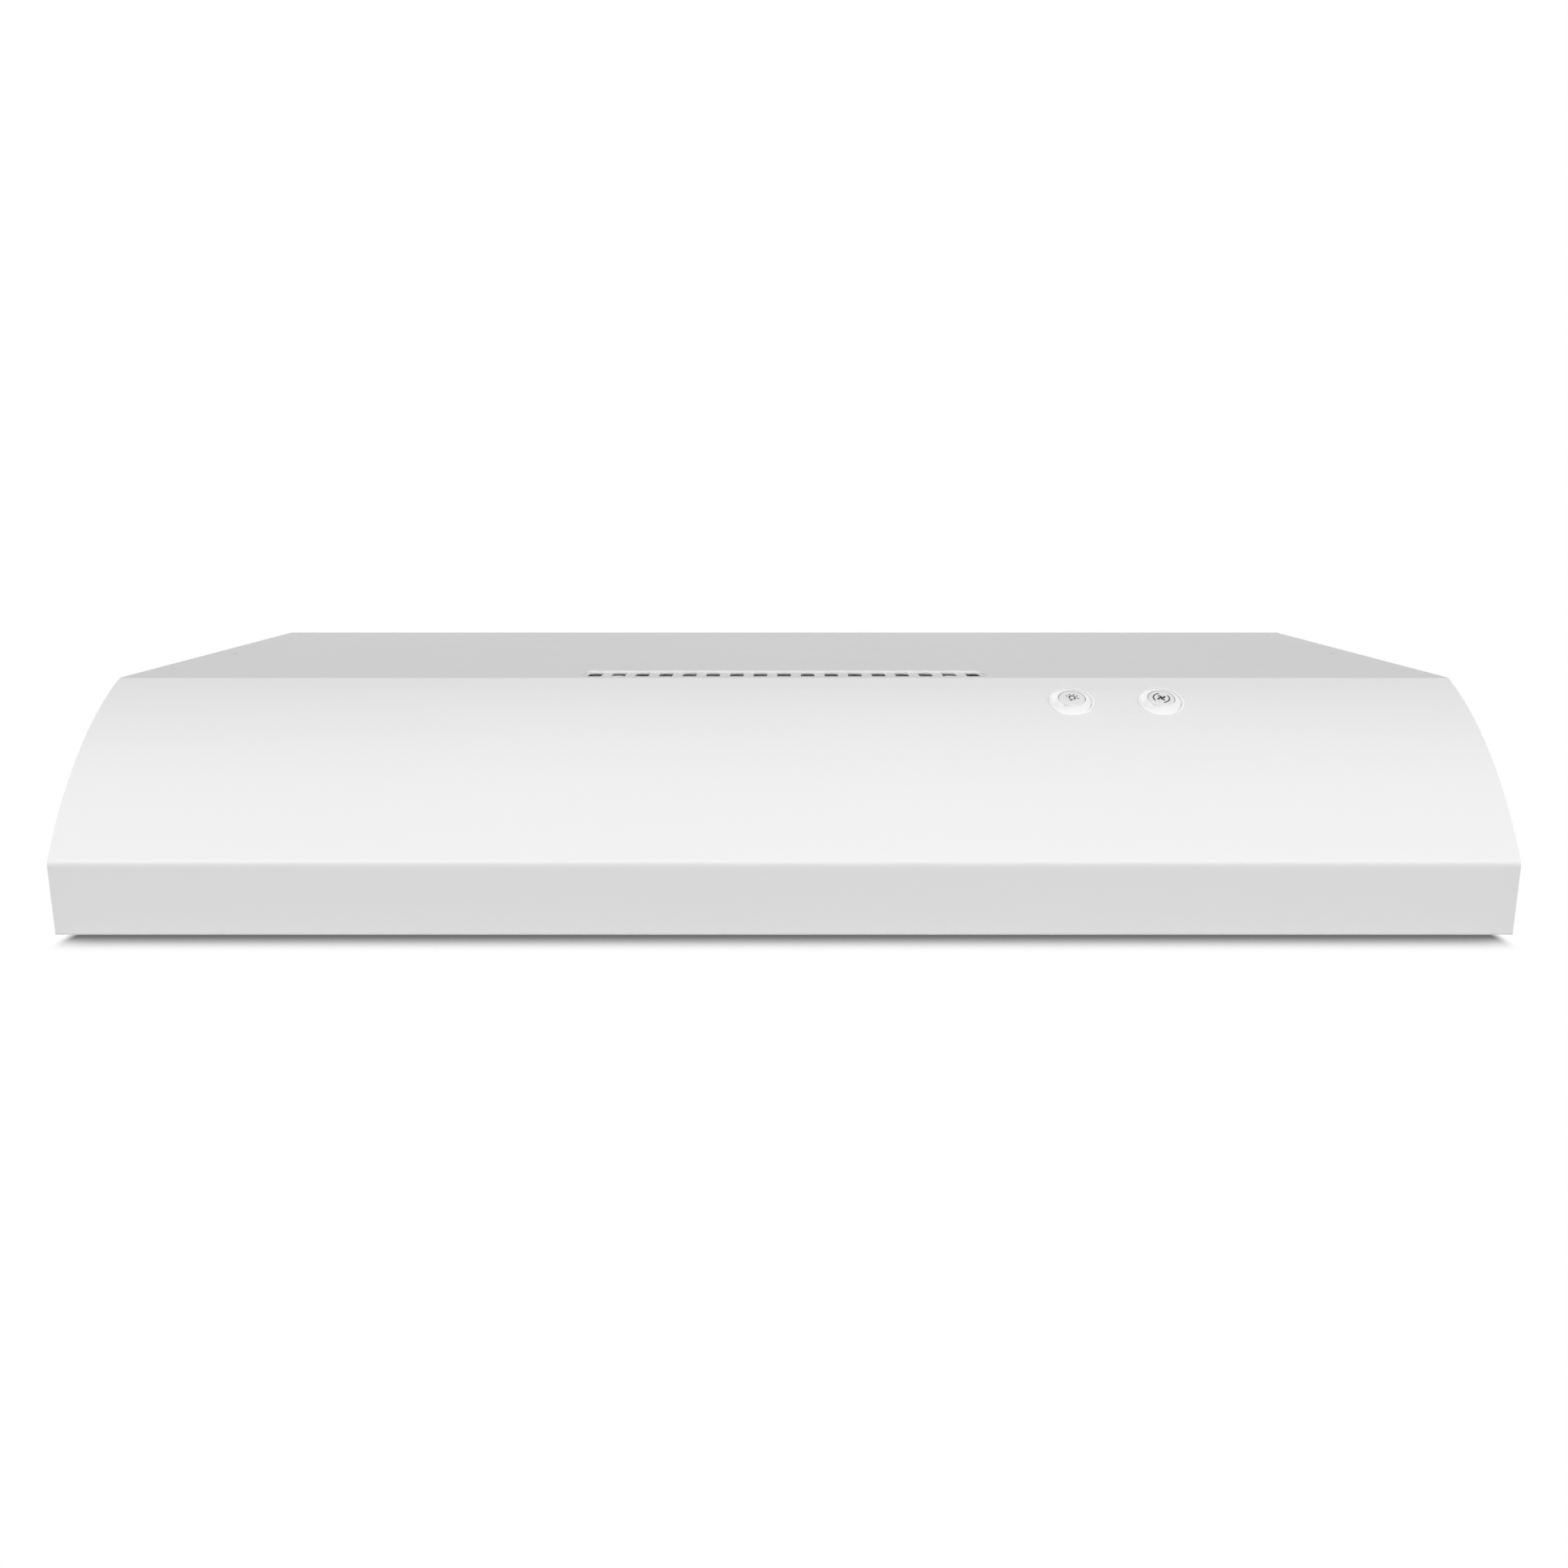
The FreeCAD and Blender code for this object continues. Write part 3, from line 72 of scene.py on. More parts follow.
# ---------------------------------------------------------------- studio
def make_camera():
    """Stands in front of the lip, tilted down, with a small upward shift that keeps the hood central."""
    ahead, above, pitch = 0.8953, 0.2622, math.radians(14.168)
    lip_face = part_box("canopy_wrap")[0].y
    data = bpy.data.cameras.new("camera")
    data.sensor_width = 36
    data.lens = 34.18
    data.shift_y = 0.0606
    data.clip_start = 0.01
    camera = bpy.data.objects.new("camera", data)
    camera.location = (0, lip_face - ahead, cad_bounds[0][2] + above)
    camera.rotation_euler = (math.pi / 2 - pitch, 0, 0)
    bpy.context.collection.objects.link(camera)
    bpy.context.scene.camera = camera


def stage_plane(name, size, height, material):
    """A level square under the hood that belongs to the studio."""
    mesh = bpy.data.meshes.new(name)
    half = size / 2
    corners = [(-half, -half, height), (half, -half, height), (half, half, height), (-half, half, height)]
    mesh.from_pydata(corners, [], [(0, 1, 2, 3)])
    plane = bpy.data.objects.new(name, mesh)
    mesh.materials.append(material)
    bpy.context.collection.objects.link(plane)
    return plane


def make_world():
    """Soft boxes as bands of sky that run left to right, by their height over the front horizon.

    A wide one stands in front, half way up. It fades over the top, and behind the hood there is only a low
    pale band, which the flat top mirrors. Below the floor it is evenly pale, for parts that hang down.
    """
    world = bpy.data.worlds.new("studio")
    bpy.context.scene.world = world
    world.use_nodes = True
    tree = world.node_tree
    coords = tree.nodes.new("ShaderNodeTexCoord")
    split = tree.nodes.new("ShaderNodeSeparateXYZ")
    front = math_node(tree, "MULTIPLY", split.outputs["Y"], -1.0)
    angle = math_node(tree, "ARCTAN2", split.outputs["Z"], front)
    half_turns = math_node(tree, "DIVIDE", angle, math.pi)
    ramp = tree.nodes.new("ShaderNodeValToRGB")
    tree.links.new(coords.outputs["Generated"], split.inputs[0])
    tree.links.new(half_turns, ramp.inputs["Fac"])
    under_floor = math_node(tree, "LESS_THAN", split.outputs["Z"], 0.0)
    below = math_node(tree, "MULTIPLY", under_floor, 0.3)
    both = tree.nodes.new("ShaderNodeVectorMath")
    tree.links.new(ramp.outputs["Color"], both.inputs[0])
    tree.links.new(below, both.inputs[1])
    tree.links.new(both.outputs[0], tree.nodes["Background"].inputs["Color"])
    brightest = 3.0
    bands = [(0, 0.05), (13, 0.15), (20, 0.6), (33, 1.5), (40, 2.8), (47, 3.0), (60, 1.3), (85, 0.88),
             (106, 0.1), (162, 0.1), (180, 0.9)]
    for i, (degrees, light) in enumerate(bands):
        elements = ramp.color_ramp.elements
        stop = elements[i] if i < 2 else elements.new(degrees / 180)
        stop.position = degrees / 180
        stop.color = (light / brightest, light / brightest, light / brightest, 1)
    tree.nodes["Background"].inputs["Strength"].default_value = brightest


def panel_light(name, place, facing, size, power):
    """A soft light that the camera doesn't see."""
    data = bpy.data.lights.new(name, "AREA")
    data.shape = "RECTANGLE"
    data.size, data.size_y = size
    data.energy = power
    panel = bpy.data.objects.new(name, data)
    panel.location = place
    panel.rotation_euler = facing.to_track_quat("-Z", "Y").to_euler()
    panel.visible_camera = False
    bpy.context.collection.objects.link(panel)
    return panel


def math_node(tree, operation, value, other=None):
    """One Math node on a value and a second value or number."""
    node = tree.nodes.new("ShaderNodeMath")
    node.operation = operation
    tree.links.new(value, node.inputs[0])
    if isinstance(other, float):
        node.inputs[1].default_value = other
    elif other:
        tree.links.new(other, node.inputs[1])
    return node.outputs[0]


def glow_paint(name):
    """Even white light."""
    material = bpy.data.materials.new(name)
    material.use_nodes = True
    tree = material.node_tree
    tree.nodes.remove(tree.nodes["Principled BSDF"])
    glow = tree.nodes.new("ShaderNodeEmission")
    tree.links.new(glow.outputs[0], tree.nodes["Material Output"].inputs["Surface"])
    return material


def floor_paint(name, contact):
    """White light with a soft shadow near an object. The shadow ends by the hood's sides, and from below the
    floor is clear."""
    material = glow_paint(name)
    tree = material.node_tree
    glow = tree.nodes["Emission"]
    near = tree.nodes.new("ShaderNodeAmbientOcclusion")
    near.samples = 24
    near.inputs["Distance"].default_value = contact
    ramp = tree.nodes.new("ShaderNodeValToRGB")
    ramp.color_ramp.interpolation = "EASE"
    dark, light = ramp.color_ramp.elements
    dark.position, dark.color = 0.45, (0.17, 0.17, 0.17, 1)
    light.position, light.color = 0.95, (1, 1, 1, 1)
    tree.links.new(near.outputs["AO"], ramp.inputs["Fac"])

    place = tree.nodes.new("ShaderNodeSeparateXYZ")
    tree.links.new(tree.nodes.new("ShaderNodeTexCoord").outputs["Object"], place.inputs[0])
    fade = tree.nodes.new("ShaderNodeMapRange")
    fade.interpolation_type = "SMOOTHSTEP"
    half = cad_bounds[1][0]
    fade.inputs["From Min"].default_value = half - 13 * MM
    fade.inputs["From Max"].default_value = half - 4 * MM
    tree.links.new(math_node(tree, "ABSOLUTE", place.outputs["X"]), fade.inputs["Value"])
    lighter = tree.nodes.new("ShaderNodeMix")
    lighter.data_type = "RGBA"
    tree.links.new(fade.outputs["Result"], lighter.inputs["Factor"])
    tree.links.new(ramp.outputs["Color"], lighter.inputs["A"])
    lighter.inputs["B"].default_value = (1, 1, 1, 1)
    tree.links.new(lighter.outputs["Result"], glow.inputs["Color"])

    side = tree.nodes.new("ShaderNodeNewGeometry").outputs["Backfacing"]
    mix = tree.nodes.new("ShaderNodeMixShader")
    tree.links.new(side, mix.inputs[0])
    tree.links.new(glow.outputs[0], mix.inputs[1])
    tree.links.new(tree.nodes.new("ShaderNodeBsdfTransparent").outputs[0], mix.inputs[2])
    tree.links.new(mix.outputs[0], tree.nodes["Material Output"].inputs["Surface"])
    return material


def bounce_paint(albedo):
    """Matt grey with a faint cloudiness: what the enamel sees of the floor."""
    material = bpy.data.materials.new("floor_bounce")
    material.use_nodes = True
    tree = material.node_tree
    shader = tree.nodes["Principled BSDF"]
    shader.inputs["Roughness"].default_value = 1.0
    shader.inputs["Specular IOR Level"].default_value = 0.0
    noise = tree.nodes.new("ShaderNodeTexNoise")
    noise.inputs["Scale"].default_value = 3
    ramp = tree.nodes.new("ShaderNodeValToRGB")
    for element, share in zip(ramp.color_ramp.elements, (0.99, 1.0)):
        element.color = (albedo * share, albedo * share, albedo * share, 1)
    tree.links.new(noise.outputs["Fac"], ramp.inputs["Fac"])
    tree.links.new(ramp.outputs["Color"], shader.inputs["Base Color"])
    return material


def make_backdrop():
    """A white drum round the whole scene, for the camera."""
    mesh = bpy.data.meshes.new("backdrop")
    sides, radius, depth, height = 64, 5.9, -6.0, 6.0
    angles = [i * math.tau / sides for i in range(sides)]
    ring = [(radius * math.cos(a), radius * math.sin(a)) for a in angles]
    points = [(x, y, z) for z in (depth, height) for x, y in ring]
    faces = [(i, (i + 1) % sides, sides + (i + 1) % sides, sides + i) for i in range(sides)]
    faces.append(tuple(range(sides, 2 * sides)))
    faces.append(tuple(range(sides)))
    mesh.from_pydata(points, [], faces)
    backdrop = bpy.data.objects.new("backdrop", mesh)
    mesh.materials.append(glow_paint("backdrop_white"))
    bpy.context.collection.objects.link(backdrop)
    return backdrop


def make_studio():
    """White floor and backdrop as the camera sees them, and a grey floor for what the enamel reflects."""
    make_world()
    floor_height = cad_bounds[0][2] - 1.5 * MM
    seen = stage_plane("floor", 12, floor_height, floor_paint("floor_white", contact=0.04))
    under = stage_plane("floor_bounce", 12, floor_height - 1 * MM, bounce_paint(0.52))
    under.visible_camera = False
    low, high = [Vector(corner) for corner in cad_bounds]
    back = panel_light("back_light", Vector((0, high.y + 0.7, 0.1)), Vector((0, -1, 0)), (1.3, 0.2), 4.2)
    back.visible_glossy = False
    wide, deep = high.x - low.x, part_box("back_panel")[1].y - low.y
    under_rim = Vector((0, low.y + deep / 2, low.z - 0.6 * MM))
    panel_light("under_light", under_rim, Vector((0, 0, 1)), (wide, deep), 0.65)
    for item in (seen, make_backdrop()):
        item.visible_diffuse = item.visible_glossy = item.visible_transmission = item.visible_shadow = False
    bpy.context.scene.view_settings.view_transform = "Standard"


# ---------------------------------------------------------------- materials
class Paint:
    """A Principled material whose nodes are added by short calls."""

    def __init__(self, name, colour, roughness, metallic=0.0, **sockets):
        self.material = bpy.data.materials.new(name)
        self.material.use_nodes = True
        self.tree = self.material.node_tree
        self.shader = self.tree.nodes["Principled BSDF"]
        self.shader.inputs["Base Color"].default_value = (*colour, 1)
        self.shader.inputs["Roughness"].default_value = roughness
        self.shader.inputs["Metallic"].default_value = metallic
        for socket, value in sockets.items():
            self.shader.inputs[socket.replace("_", " ")].default_value = value
        self.colour = colour
        self.coords = self.tree.nodes.new("ShaderNodeTexCoord").outputs["Object"]
        self.height = None

    def link(self, out, into):
        self.tree.links.new(out, into)

    def stretched(self, stretch):
        node = self.tree.nodes.new("ShaderNodeMapping")
        node.inputs["Scale"].default_value = stretch
        self.link(self.coords, node.inputs["Vector"])
        return node.outputs["Vector"]

    def noise(self, scale, detail=3.0, stretch=None, roughness=0.5):
        node = self.tree.nodes.new("ShaderNodeTexNoise")
        node.inputs["Scale"].default_value = scale
        node.inputs["Detail"].default_value = detail
        node.inputs["Roughness"].default_value = roughness
        self.link(self.stretched(stretch) if stretch else self.coords, node.inputs["Vector"])
        return node.outputs["Fac"]

    def cells(self, scale, output="Color", stretch=None, feature="F1"):
        node = self.tree.nodes.new("ShaderNodeTexVoronoi")
        node.feature = feature
        node.inputs["Scale"].default_value = scale
        self.link(self.stretched(stretch) if stretch else self.coords, node.inputs["Vector"])
        return node.outputs[output]

    def ramp(self, value, low, high, start=0.3, end=0.7):
        """Maps a value to a colour between low and high."""
        node = self.tree.nodes.new("ShaderNodeValToRGB")
        node.color_ramp.elements[0].position = start
        node.color_ramp.elements[1].position = end
        node.color_ramp.elements[0].color = (*low, 1)
        node.color_ramp.elements[1].color = (*high, 1)
        self.link(value, node.inputs["Fac"])
        return node.outputs["Color"]

    def shades(self, value, spread, start=0.3, end=0.7):
        """Varies the base colour, darker and lighter by spread."""
        low = [c * (1 - spread) for c in self.colour]
        high = [min(c * (1 + spread), 1) for c in self.colour]
        self.link(self.ramp(value, low, high, start, end), self.shader.inputs["Base Color"])
        return self

    def rough(self, value, low, high):
        node = self.tree.nodes.new("ShaderNodeMapRange")
        node.inputs["To Min"].default_value = low
        node.inputs["To Max"].default_value = high
        self.link(value, node.inputs["Value"])
        self.link(node.outputs["Result"], self.shader.inputs["Roughness"])
        return self

    def bump(self, value, depth, strength=1.0):
        """Adds relief of a real depth in metres. A later bump rides on an earlier one."""
        node = self.tree.nodes.new("ShaderNodeBump")
        node.inputs["Distance"].default_value = depth
        node.inputs["Strength"].default_value = strength
        self.link(value, node.inputs["Height"])
        if self.height:
            self.link(self.height, node.inputs["Normal"])
        self.height = node.outputs["Normal"]
        self.link(self.height, self.shader.inputs["Normal"])
        return self


def make_materials():
    """One material for each finish, by name."""
    made = {}

    enamel = Paint("white_enamel", (0.84, 0.842, 0.84), 0.22)
    enamel.shades(enamel.noise(2.2, 2), 0.008).rough(enamel.noise(9, 3), 0.2, 0.26)
    enamel.bump(enamel.noise(320, 2), 0.000012).bump(enamel.noise(14, 1), 0.00012)
    made["white_enamel"] = enamel

    button = Paint("white_button", (0.81, 0.81, 0.805), 0.36)
    button.shades(button.noise(60, 2), 0.01).bump(button.noise(4200, 2), 0.000006)
    made["white_button"] = button

    ring = Paint("button_ring", (0.93, 0.93, 0.93), 0.28)
    ring.shades(ring.noise(60, 2), 0.01).bump(ring.noise(4200, 2), 0.000006)
    made["button_ring"] = ring

    symbol = Paint("symbol_ink", (0.025, 0.025, 0.028), 0.55)
    symbol.shades(symbol.noise(900, 2), 0.15)
    made["symbol_ink"] = symbol

    zinc = Paint("galvanised", (0.60, 0.62, 0.63), 0.38, 0.92)
    spangle = zinc.cells(110)
    zinc.shades(spangle, 0.16, 0.1, 0.9).rough(spangle, 0.28, 0.48).bump(zinc.noise(700, 2), 0.00001)
    made["galvanised"] = zinc

    plated = Paint("bright_steel", (0.66, 0.66, 0.65), 0.3, 1.0)
    plated.shades(plated.noise(500, 3), 0.08).rough(plated.noise(260, 2), 0.22, 0.4)
    made["bright_steel"] = plated

    foil = Paint("filter_aluminium", (0.74, 0.75, 0.76), 0.38, 0.8)
    foil.shades(foil.noise(90, 3), 0.07).rough(foil.noise(40, 3), 0.26, 0.44)
    foil.bump(foil.noise(1500, 2), 0.000008)
    made["filter_aluminium"] = foil

    mesh = Paint("filter_mesh", (0.76, 0.77, 0.78), 0.34, 0.75)
    mesh.shades(mesh.noise(160, 2), 0.12).rough(mesh.noise(70, 2), 0.24, 0.4)
    made["filter_mesh"] = mesh

    lens = Paint("frosted_glass", (0.95, 0.955, 0.95), 0.45, Transmission_Weight=0.82, IOR=1.5)
    lens.rough(lens.noise(500, 2), 0.4, 0.55).bump(lens.noise(2600, 2), 0.00002)
    made["frosted_glass"] = lens

    bulb = Paint("lamp_glass", (0.93, 0.93, 0.90), 0.12, 0.85)
    bulb.shades(bulb.noise(200, 2), 0.05)
    made["lamp_glass"] = bulb

    ceramic = Paint("ceramic", (0.80, 0.77, 0.70), 0.5)
    ceramic.shades(ceramic.noise(150, 3), 0.05).bump(ceramic.noise(1800, 3), 0.00002)
    made["ceramic"] = ceramic

    grey = Paint("grey_moulding", (0.60, 0.61, 0.61), 0.48)
    grey.shades(grey.noise(30, 2), 0.03).bump(grey.noise(2400, 2), 0.000015)
    made["grey_moulding"] = grey

    black = Paint("black_moulding", (0.028, 0.028, 0.03), 0.45)
    black.shades(black.noise(80, 2), 0.2).bump(black.noise(2400, 2), 0.000015)
    made["black_moulding"] = black

    board = Paint("board_green", (0.03, 0.17, 0.075), 0.3)
    board.shades(board.cells(420, "Distance", (1, 0.35, 1)), 0.45, 0.1, 0.5)
    made["board_green"] = board

    motor = Paint("motor_black", (0.05, 0.05, 0.055), 0.4)
    motor.shades(motor.noise(60, 3), 0.15).bump(motor.noise(900, 3), 0.00003)
    made["motor_black"] = motor

    stack = Paint("laminations", (0.26, 0.26, 0.27), 0.42, 0.9)
    leaves = stack.noise(1, 0, (1600, 4, 4))
    stack.shades(leaves, 0.3).bump(leaves, 0.00006)
    made["laminations"] = stack

    bronze = Paint("sintered_bronze", (0.52, 0.37, 0.17), 0.45, 0.95)
    bronze.shades(bronze.noise(700, 3), 0.2).bump(bronze.noise(1400, 3), 0.00003)
    made["sintered_bronze"] = bronze

    rubber = Paint("black_rubber", (0.025, 0.025, 0.025), 0.7)
    rubber.shades(rubber.noise(200, 3), 0.25).bump(rubber.noise(1600, 3), 0.00003)
    made["black_rubber"] = rubber

    sleeve = Paint("wire_sleeve", (0.045, 0.045, 0.05), 0.42)
    sleeve.shades(sleeve.noise(300, 2), 0.2).bump(sleeve.noise(1300, 2), 0.00002)
    made["wire_sleeve"] = sleeve
    return {name: paint.material for name, paint in made.items()}


def dress_nodes(materials):
    """Gives every CAD node the material of its slot in the record."""
    for part in frame["record"]["subparts"]:
        node = nodes[part["node"]]
        node.data.materials.clear()
        node.data.materials.append(materials[part["material_slot"]])


# ---------------------------------------------------------------- mesh tools
def point(place, x, y, z):
    """A point given in millimetres in a local frame, in metres in the row frame."""
    return place @ Vector((x * MM, y * MM, z * MM))


def skin(bm, rings, loop=False, ends=True):
    """Joins rings of points, all of one length. loop joins the last to the first, ends closes both."""
    made = [[bm.verts.new(p) for p in ring] for ring in rings]
    pairs = list(zip(made, made[1:])) + ([(made[-1], made[0])] if loop else [])
    for one, two in pairs:
        for i in range(len(one)):
            j = (i + 1) % len(one)
            bm.faces.new((one[i], one[j], two[j], two[i]))
    if ends and not loop:
        bm.faces.new(made[0])
        bm.faces.new(made[-1])


def turn(bm, place, profile, steps=64):
    """Turns a profile of (radius, height) in millimetres about a local frame's Z. Radius 0 is a pole."""
    angles = [i * math.tau / steps for i in range(steps)]
    rings = []
    for radius, height in profile:
        if radius == 0:
            rings.append([bm.verts.new(point(place, 0, 0, height))])
        else:
            rings.append([bm.verts.new(point(place, radius * math.cos(a), radius * math.sin(a), height))
                          for a in angles])
    for one, two in zip(rings, rings[1:]):
        for i in range(steps):
            j = (i + 1) % steps
            corners = [one[i % len(one)], one[j % len(one)], two[j % len(two)], two[i % len(two)]]
            bm.faces.new(list(dict.fromkeys(corners)))


def arc(centre, radius, start, end, steps):
    """Points on an arc in a plane, its angles in degrees."""
    return [(centre[0] + radius * math.cos(math.radians(start + (end - start) * i / steps)),
             centre[1] + radius * math.sin(math.radians(start + (end - start) * i / steps)))
            for i in range(steps + 1)]


def strip(bm, path, place, widths, thick):
    """A bent flat strip with soft edges along a path of (y, z) in millimetres, as wide as widths say."""
    soft = thick * 0.3
    rings = []
    for i, (y, z) in enumerate(path):
        before, after = path[max(i - 1, 0)], path[min(i + 1, len(path) - 1)]
        run = Vector((after[0] - before[0], after[1] - before[1])).normalized()
        side = Vector((-run.y, run.x))
        half, ring = widths[i] / 2, []
        for x, t in ((half, thick / 2 - soft), (half - soft, thick / 2), (soft - half, thick / 2),
                     (-half, thick / 2 - soft), (-half, soft - thick / 2), (soft - half, -thick / 2),
                     (half - soft, -thick / 2), (half, soft - thick / 2)):
            ring.append(point(place, x, y + side.x * t, z + side.y * t))
        rings.append(ring)
    skin(bm, rings)


def bent(corners, radius, steps=5):
    """A line of (y, z) corners whose inner corners are bent to a radius."""
    line = [corners[0]]
    for before, corner, after in zip(corners, corners[1:], corners[2:]):
        b, c, a = Vector(before), Vector(corner), Vector(after)
        one, two = (b - c).normalized(), (a - c).normalized()
        reach = radius / math.tan(one.angle(two) / 2)
        start, end = c + one * reach, c + two * reach
        for i in range(steps + 1):
            t = i / steps
            line.append(tuple((start * (1 - t) + c * t) * (1 - t) + (c * (1 - t) + end * t) * t))
    return line + [corners[-1]]


def make_piece(name, bm, material, slot, body, *replaced, sharp=35.0):
    """Turns a bmesh drawn in the row frame into a piece that rides on a body."""
    bmesh.ops.recalc_face_normals(bm, faces=bm.faces)
    mesh = bpy.data.meshes.new(name)
    bm.to_mesh(mesh)
    bm.free()
    for face in mesh.polygons:
        face.use_smooth = True
    mesh.set_sharp_from_angle(angle=math.radians(sharp))
    mesh.materials.append(MATERIALS[material])
    piece = bpy.data.objects.new(name, mesh)
    bpy.context.collection.objects.link(piece)
    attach(piece, body)
    if replaced:
        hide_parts(*replaced)


# ---------------------------------------------------------------- buttons
# Millimetres: places are to the right and up the slope, and radii have plain names.
CAP_AT, CAP, CAP_HOLE = (1.9, 3.3), 8.9, 9.2
CAP_CROWN, CROWN_FALL = 1.0, 0.28    # the cap's highest point over the sheet, and its fall to the edge
RIM_AT, RIM, RING, DISH = (1.0, 0.8), 16.2, 14.85, 14.2
DISH_TOP, DISH_FALL, GROOVE_FLOOR = 0.75, 1.35, -1.5
HOLLOW_AT, HOLLOW_DEEP, HOLLOW_WIDE, HOLLOW_LONG = (-10.2, 1.5), 1.8, 2.5, 6.0
PIT_AT, PIT_DEEP, PIT = (-4.2, -4.0), 1.0, 3.0
BARREL, BARREL_TOP, BARREL_FOOT, GUIDE_TOP = 14.2, -1.0, -4.6, -2.2
SHEET_ARC = 282.0         # the radius of the canopy's arc
SYMBOL_TURN = -22         # degrees, both symbols


def button_place(word):
    """The local frame of a button's bezel: X to the right, Y up the slope, Z out of the sheet."""
    joint = [j for j in frame["joints"] if j["name"] == word + "_button_press"][0]
    out = -Vector(joint["axis"]).normalized()
    right = Vector((1, 0, 0))
    up = out.cross(right)
    crown = max((v.co for v in nodes[word + "_button_cap"].data.vertices), key=lambda p: p.dot(out))
    origin = crown - out * CAP_CROWN * MM - right * CAP_AT[0] * MM - up * CAP_AT[1] * MM
    turned = Matrix((right, up, out)).transposed()
    return Matrix.Translation(origin) @ turned.to_4x4()


def dish_height(x, y):
    """The dish round the cap: it falls to the front, and has a hollow at its left and a soft pit."""
    front = min(max((-y - 2) / 12, 0), 1) ** 2
    hollow = math.exp(-((x - HOLLOW_AT[0]) / HOLLOW_WIDE) ** 2 - ((y - HOLLOW_AT[1]) / HOLLOW_LONG) ** 2)
    pit = math.exp(-((x - PIT_AT[0]) ** 2 + (y - PIT_AT[1]) ** 2) / PIT ** 2)
    return DISH_TOP - DISH_FALL * front - HOLLOW_DEEP * hollow - PIT_DEEP * pit


def between_circles(one, two, two_at, share, a):
    """The point at an angle between a circle about the middle and one about two_at."""
    x = one * math.cos(a) * (1 - share) + (two_at[0] + two * math.cos(a)) * share
    y = one * math.sin(a) * (1 - share) + (two_at[1] + two * math.sin(a)) * share
    return x, y


def make_bezel(word):
    """Rim, groove, dish, guide hole and barrel, closed round. The rim stands up at the upper right only."""
    place, steps, rings = button_place(word), 144, []
    rim_profile = [(1.0, -0.9, 0), (1.0, -0.1, 0), (0.98, 0.1, 0.45), (0.88, 0.12, 0.85), (0.66, 0.12, 1.1),
                   (0.34, 0.12, 1.16), (0.0, 0.1, 1.05)]
    angles = [i * math.tau / steps for i in range(steps)]
    for share, height, raised in rim_profile:
        ring = []
        for a in angles:
            x, y = between_circles(RING, RIM, RIM_AT, share, a)
            lean = (0.5 + 0.5 * math.cos(a - math.atan2(RIM_AT[1], RIM_AT[0]))) ** 0.8
            ring.append(point(place, x, y, height + raised * lean - y * y / (2 * SHEET_ARC)))
        rings.append(ring)
    for radius in (RING - 0.05, DISH + 0.05):
        rings.append([point(place, radius * math.cos(a), radius * math.sin(a), GROOVE_FLOOR) for a in angles])
    dish_rings = 24
    for i in range(dish_rings + 1):
        share, ring = i / dish_rings, []
        for a in angles:
            x, y = between_circles(DISH, CAP_HOLE, CAP_AT, share, a)
            soft = 0.22 * max(1 - 12 * share, 0)
            ring.append(point(place, x, y, dish_height(x, y) - soft))
        rings.append(ring)
    for height in (GUIDE_TOP, BARREL_FOOT):
        rings.append([point(place, *between_circles(DISH, CAP_HOLE, CAP_AT, 1, a), height) for a in angles])
    for height in (BARREL_FOOT, BARREL_TOP):
        rings.append([point(place, BARREL * math.cos(a), BARREL * math.sin(a), height) for a in angles])
    bm = bmesh.new()
    skin(bm, rings, loop=True)
    make_piece(word + "_bezel", bm, "button_ring", "white_button", "hood", word + "_button_bezel", sharp=50)


def crown_height(radius):
    """The height of the cap's face over the sheet: a shallow crown."""
    return CAP_CROWN - CROWN_FALL * (radius / CAP) ** 2


def make_cap(word):
    """The cap with its crowned face, soft edge, skirt, lug and stem."""
    place = button_place(word) @ Matrix.Translation((CAP_AT[0] * MM, CAP_AT[1] * MM, 0))
    soft, lug, lug_top, lug_foot, stem, stem_foot = 1.1, CAP + 1, -4.8, -6, 3, -12
    face = [(r, crown_height(r)) for r in (0, 2, 4, 6, 7.3)]
    edge = arc((CAP - soft, crown_height(CAP - soft) - soft), soft, 90, 0, 7)
    foot = [(CAP, lug_top), (lug, lug_top), (lug, lug_foot)]
    foot += [(stem, lug_foot), (stem, stem_foot), (0, stem_foot)]
    bm = bmesh.new()
    turn(bm, place, face + edge + foot, 96)
    make_piece(word + "_cap", bm, "white_button", "white_button", word + "_button", word + "_button_cap")
    return place


def stroke(bm, place, line, width, closed=False):
    """A thin printed line that follows the cap's crown."""
    proud, sunk = 0.025, 0.15
    count, left, right = len(line), [], []
    for i, (x, y) in enumerate(line):
        before = line[i - 1] if closed or i else line[0]
        after = line[(i + 1) % count] if closed or i < count - 1 else line[-1]
        run = Vector((after[0] - before[0], after[1] - before[1])).normalized()
        left.append((x - run.y * width / 2, y + run.x * width / 2))
        right.append((x + run.y * width / 2, y - run.x * width / 2))
    rings = []
    for (lx, ly), (rx, ry) in zip(left, right):
        top_left, top_right = crown_height(math.hypot(lx, ly)), crown_height(math.hypot(rx, ry))
        rings.append([point(place, lx, ly, top_left + proud), point(place, rx, ry, top_right + proud),
                      point(place, rx, ry, top_right - sunk), point(place, lx, ly, top_left - sunk)])
    skin(bm, rings, loop=closed)


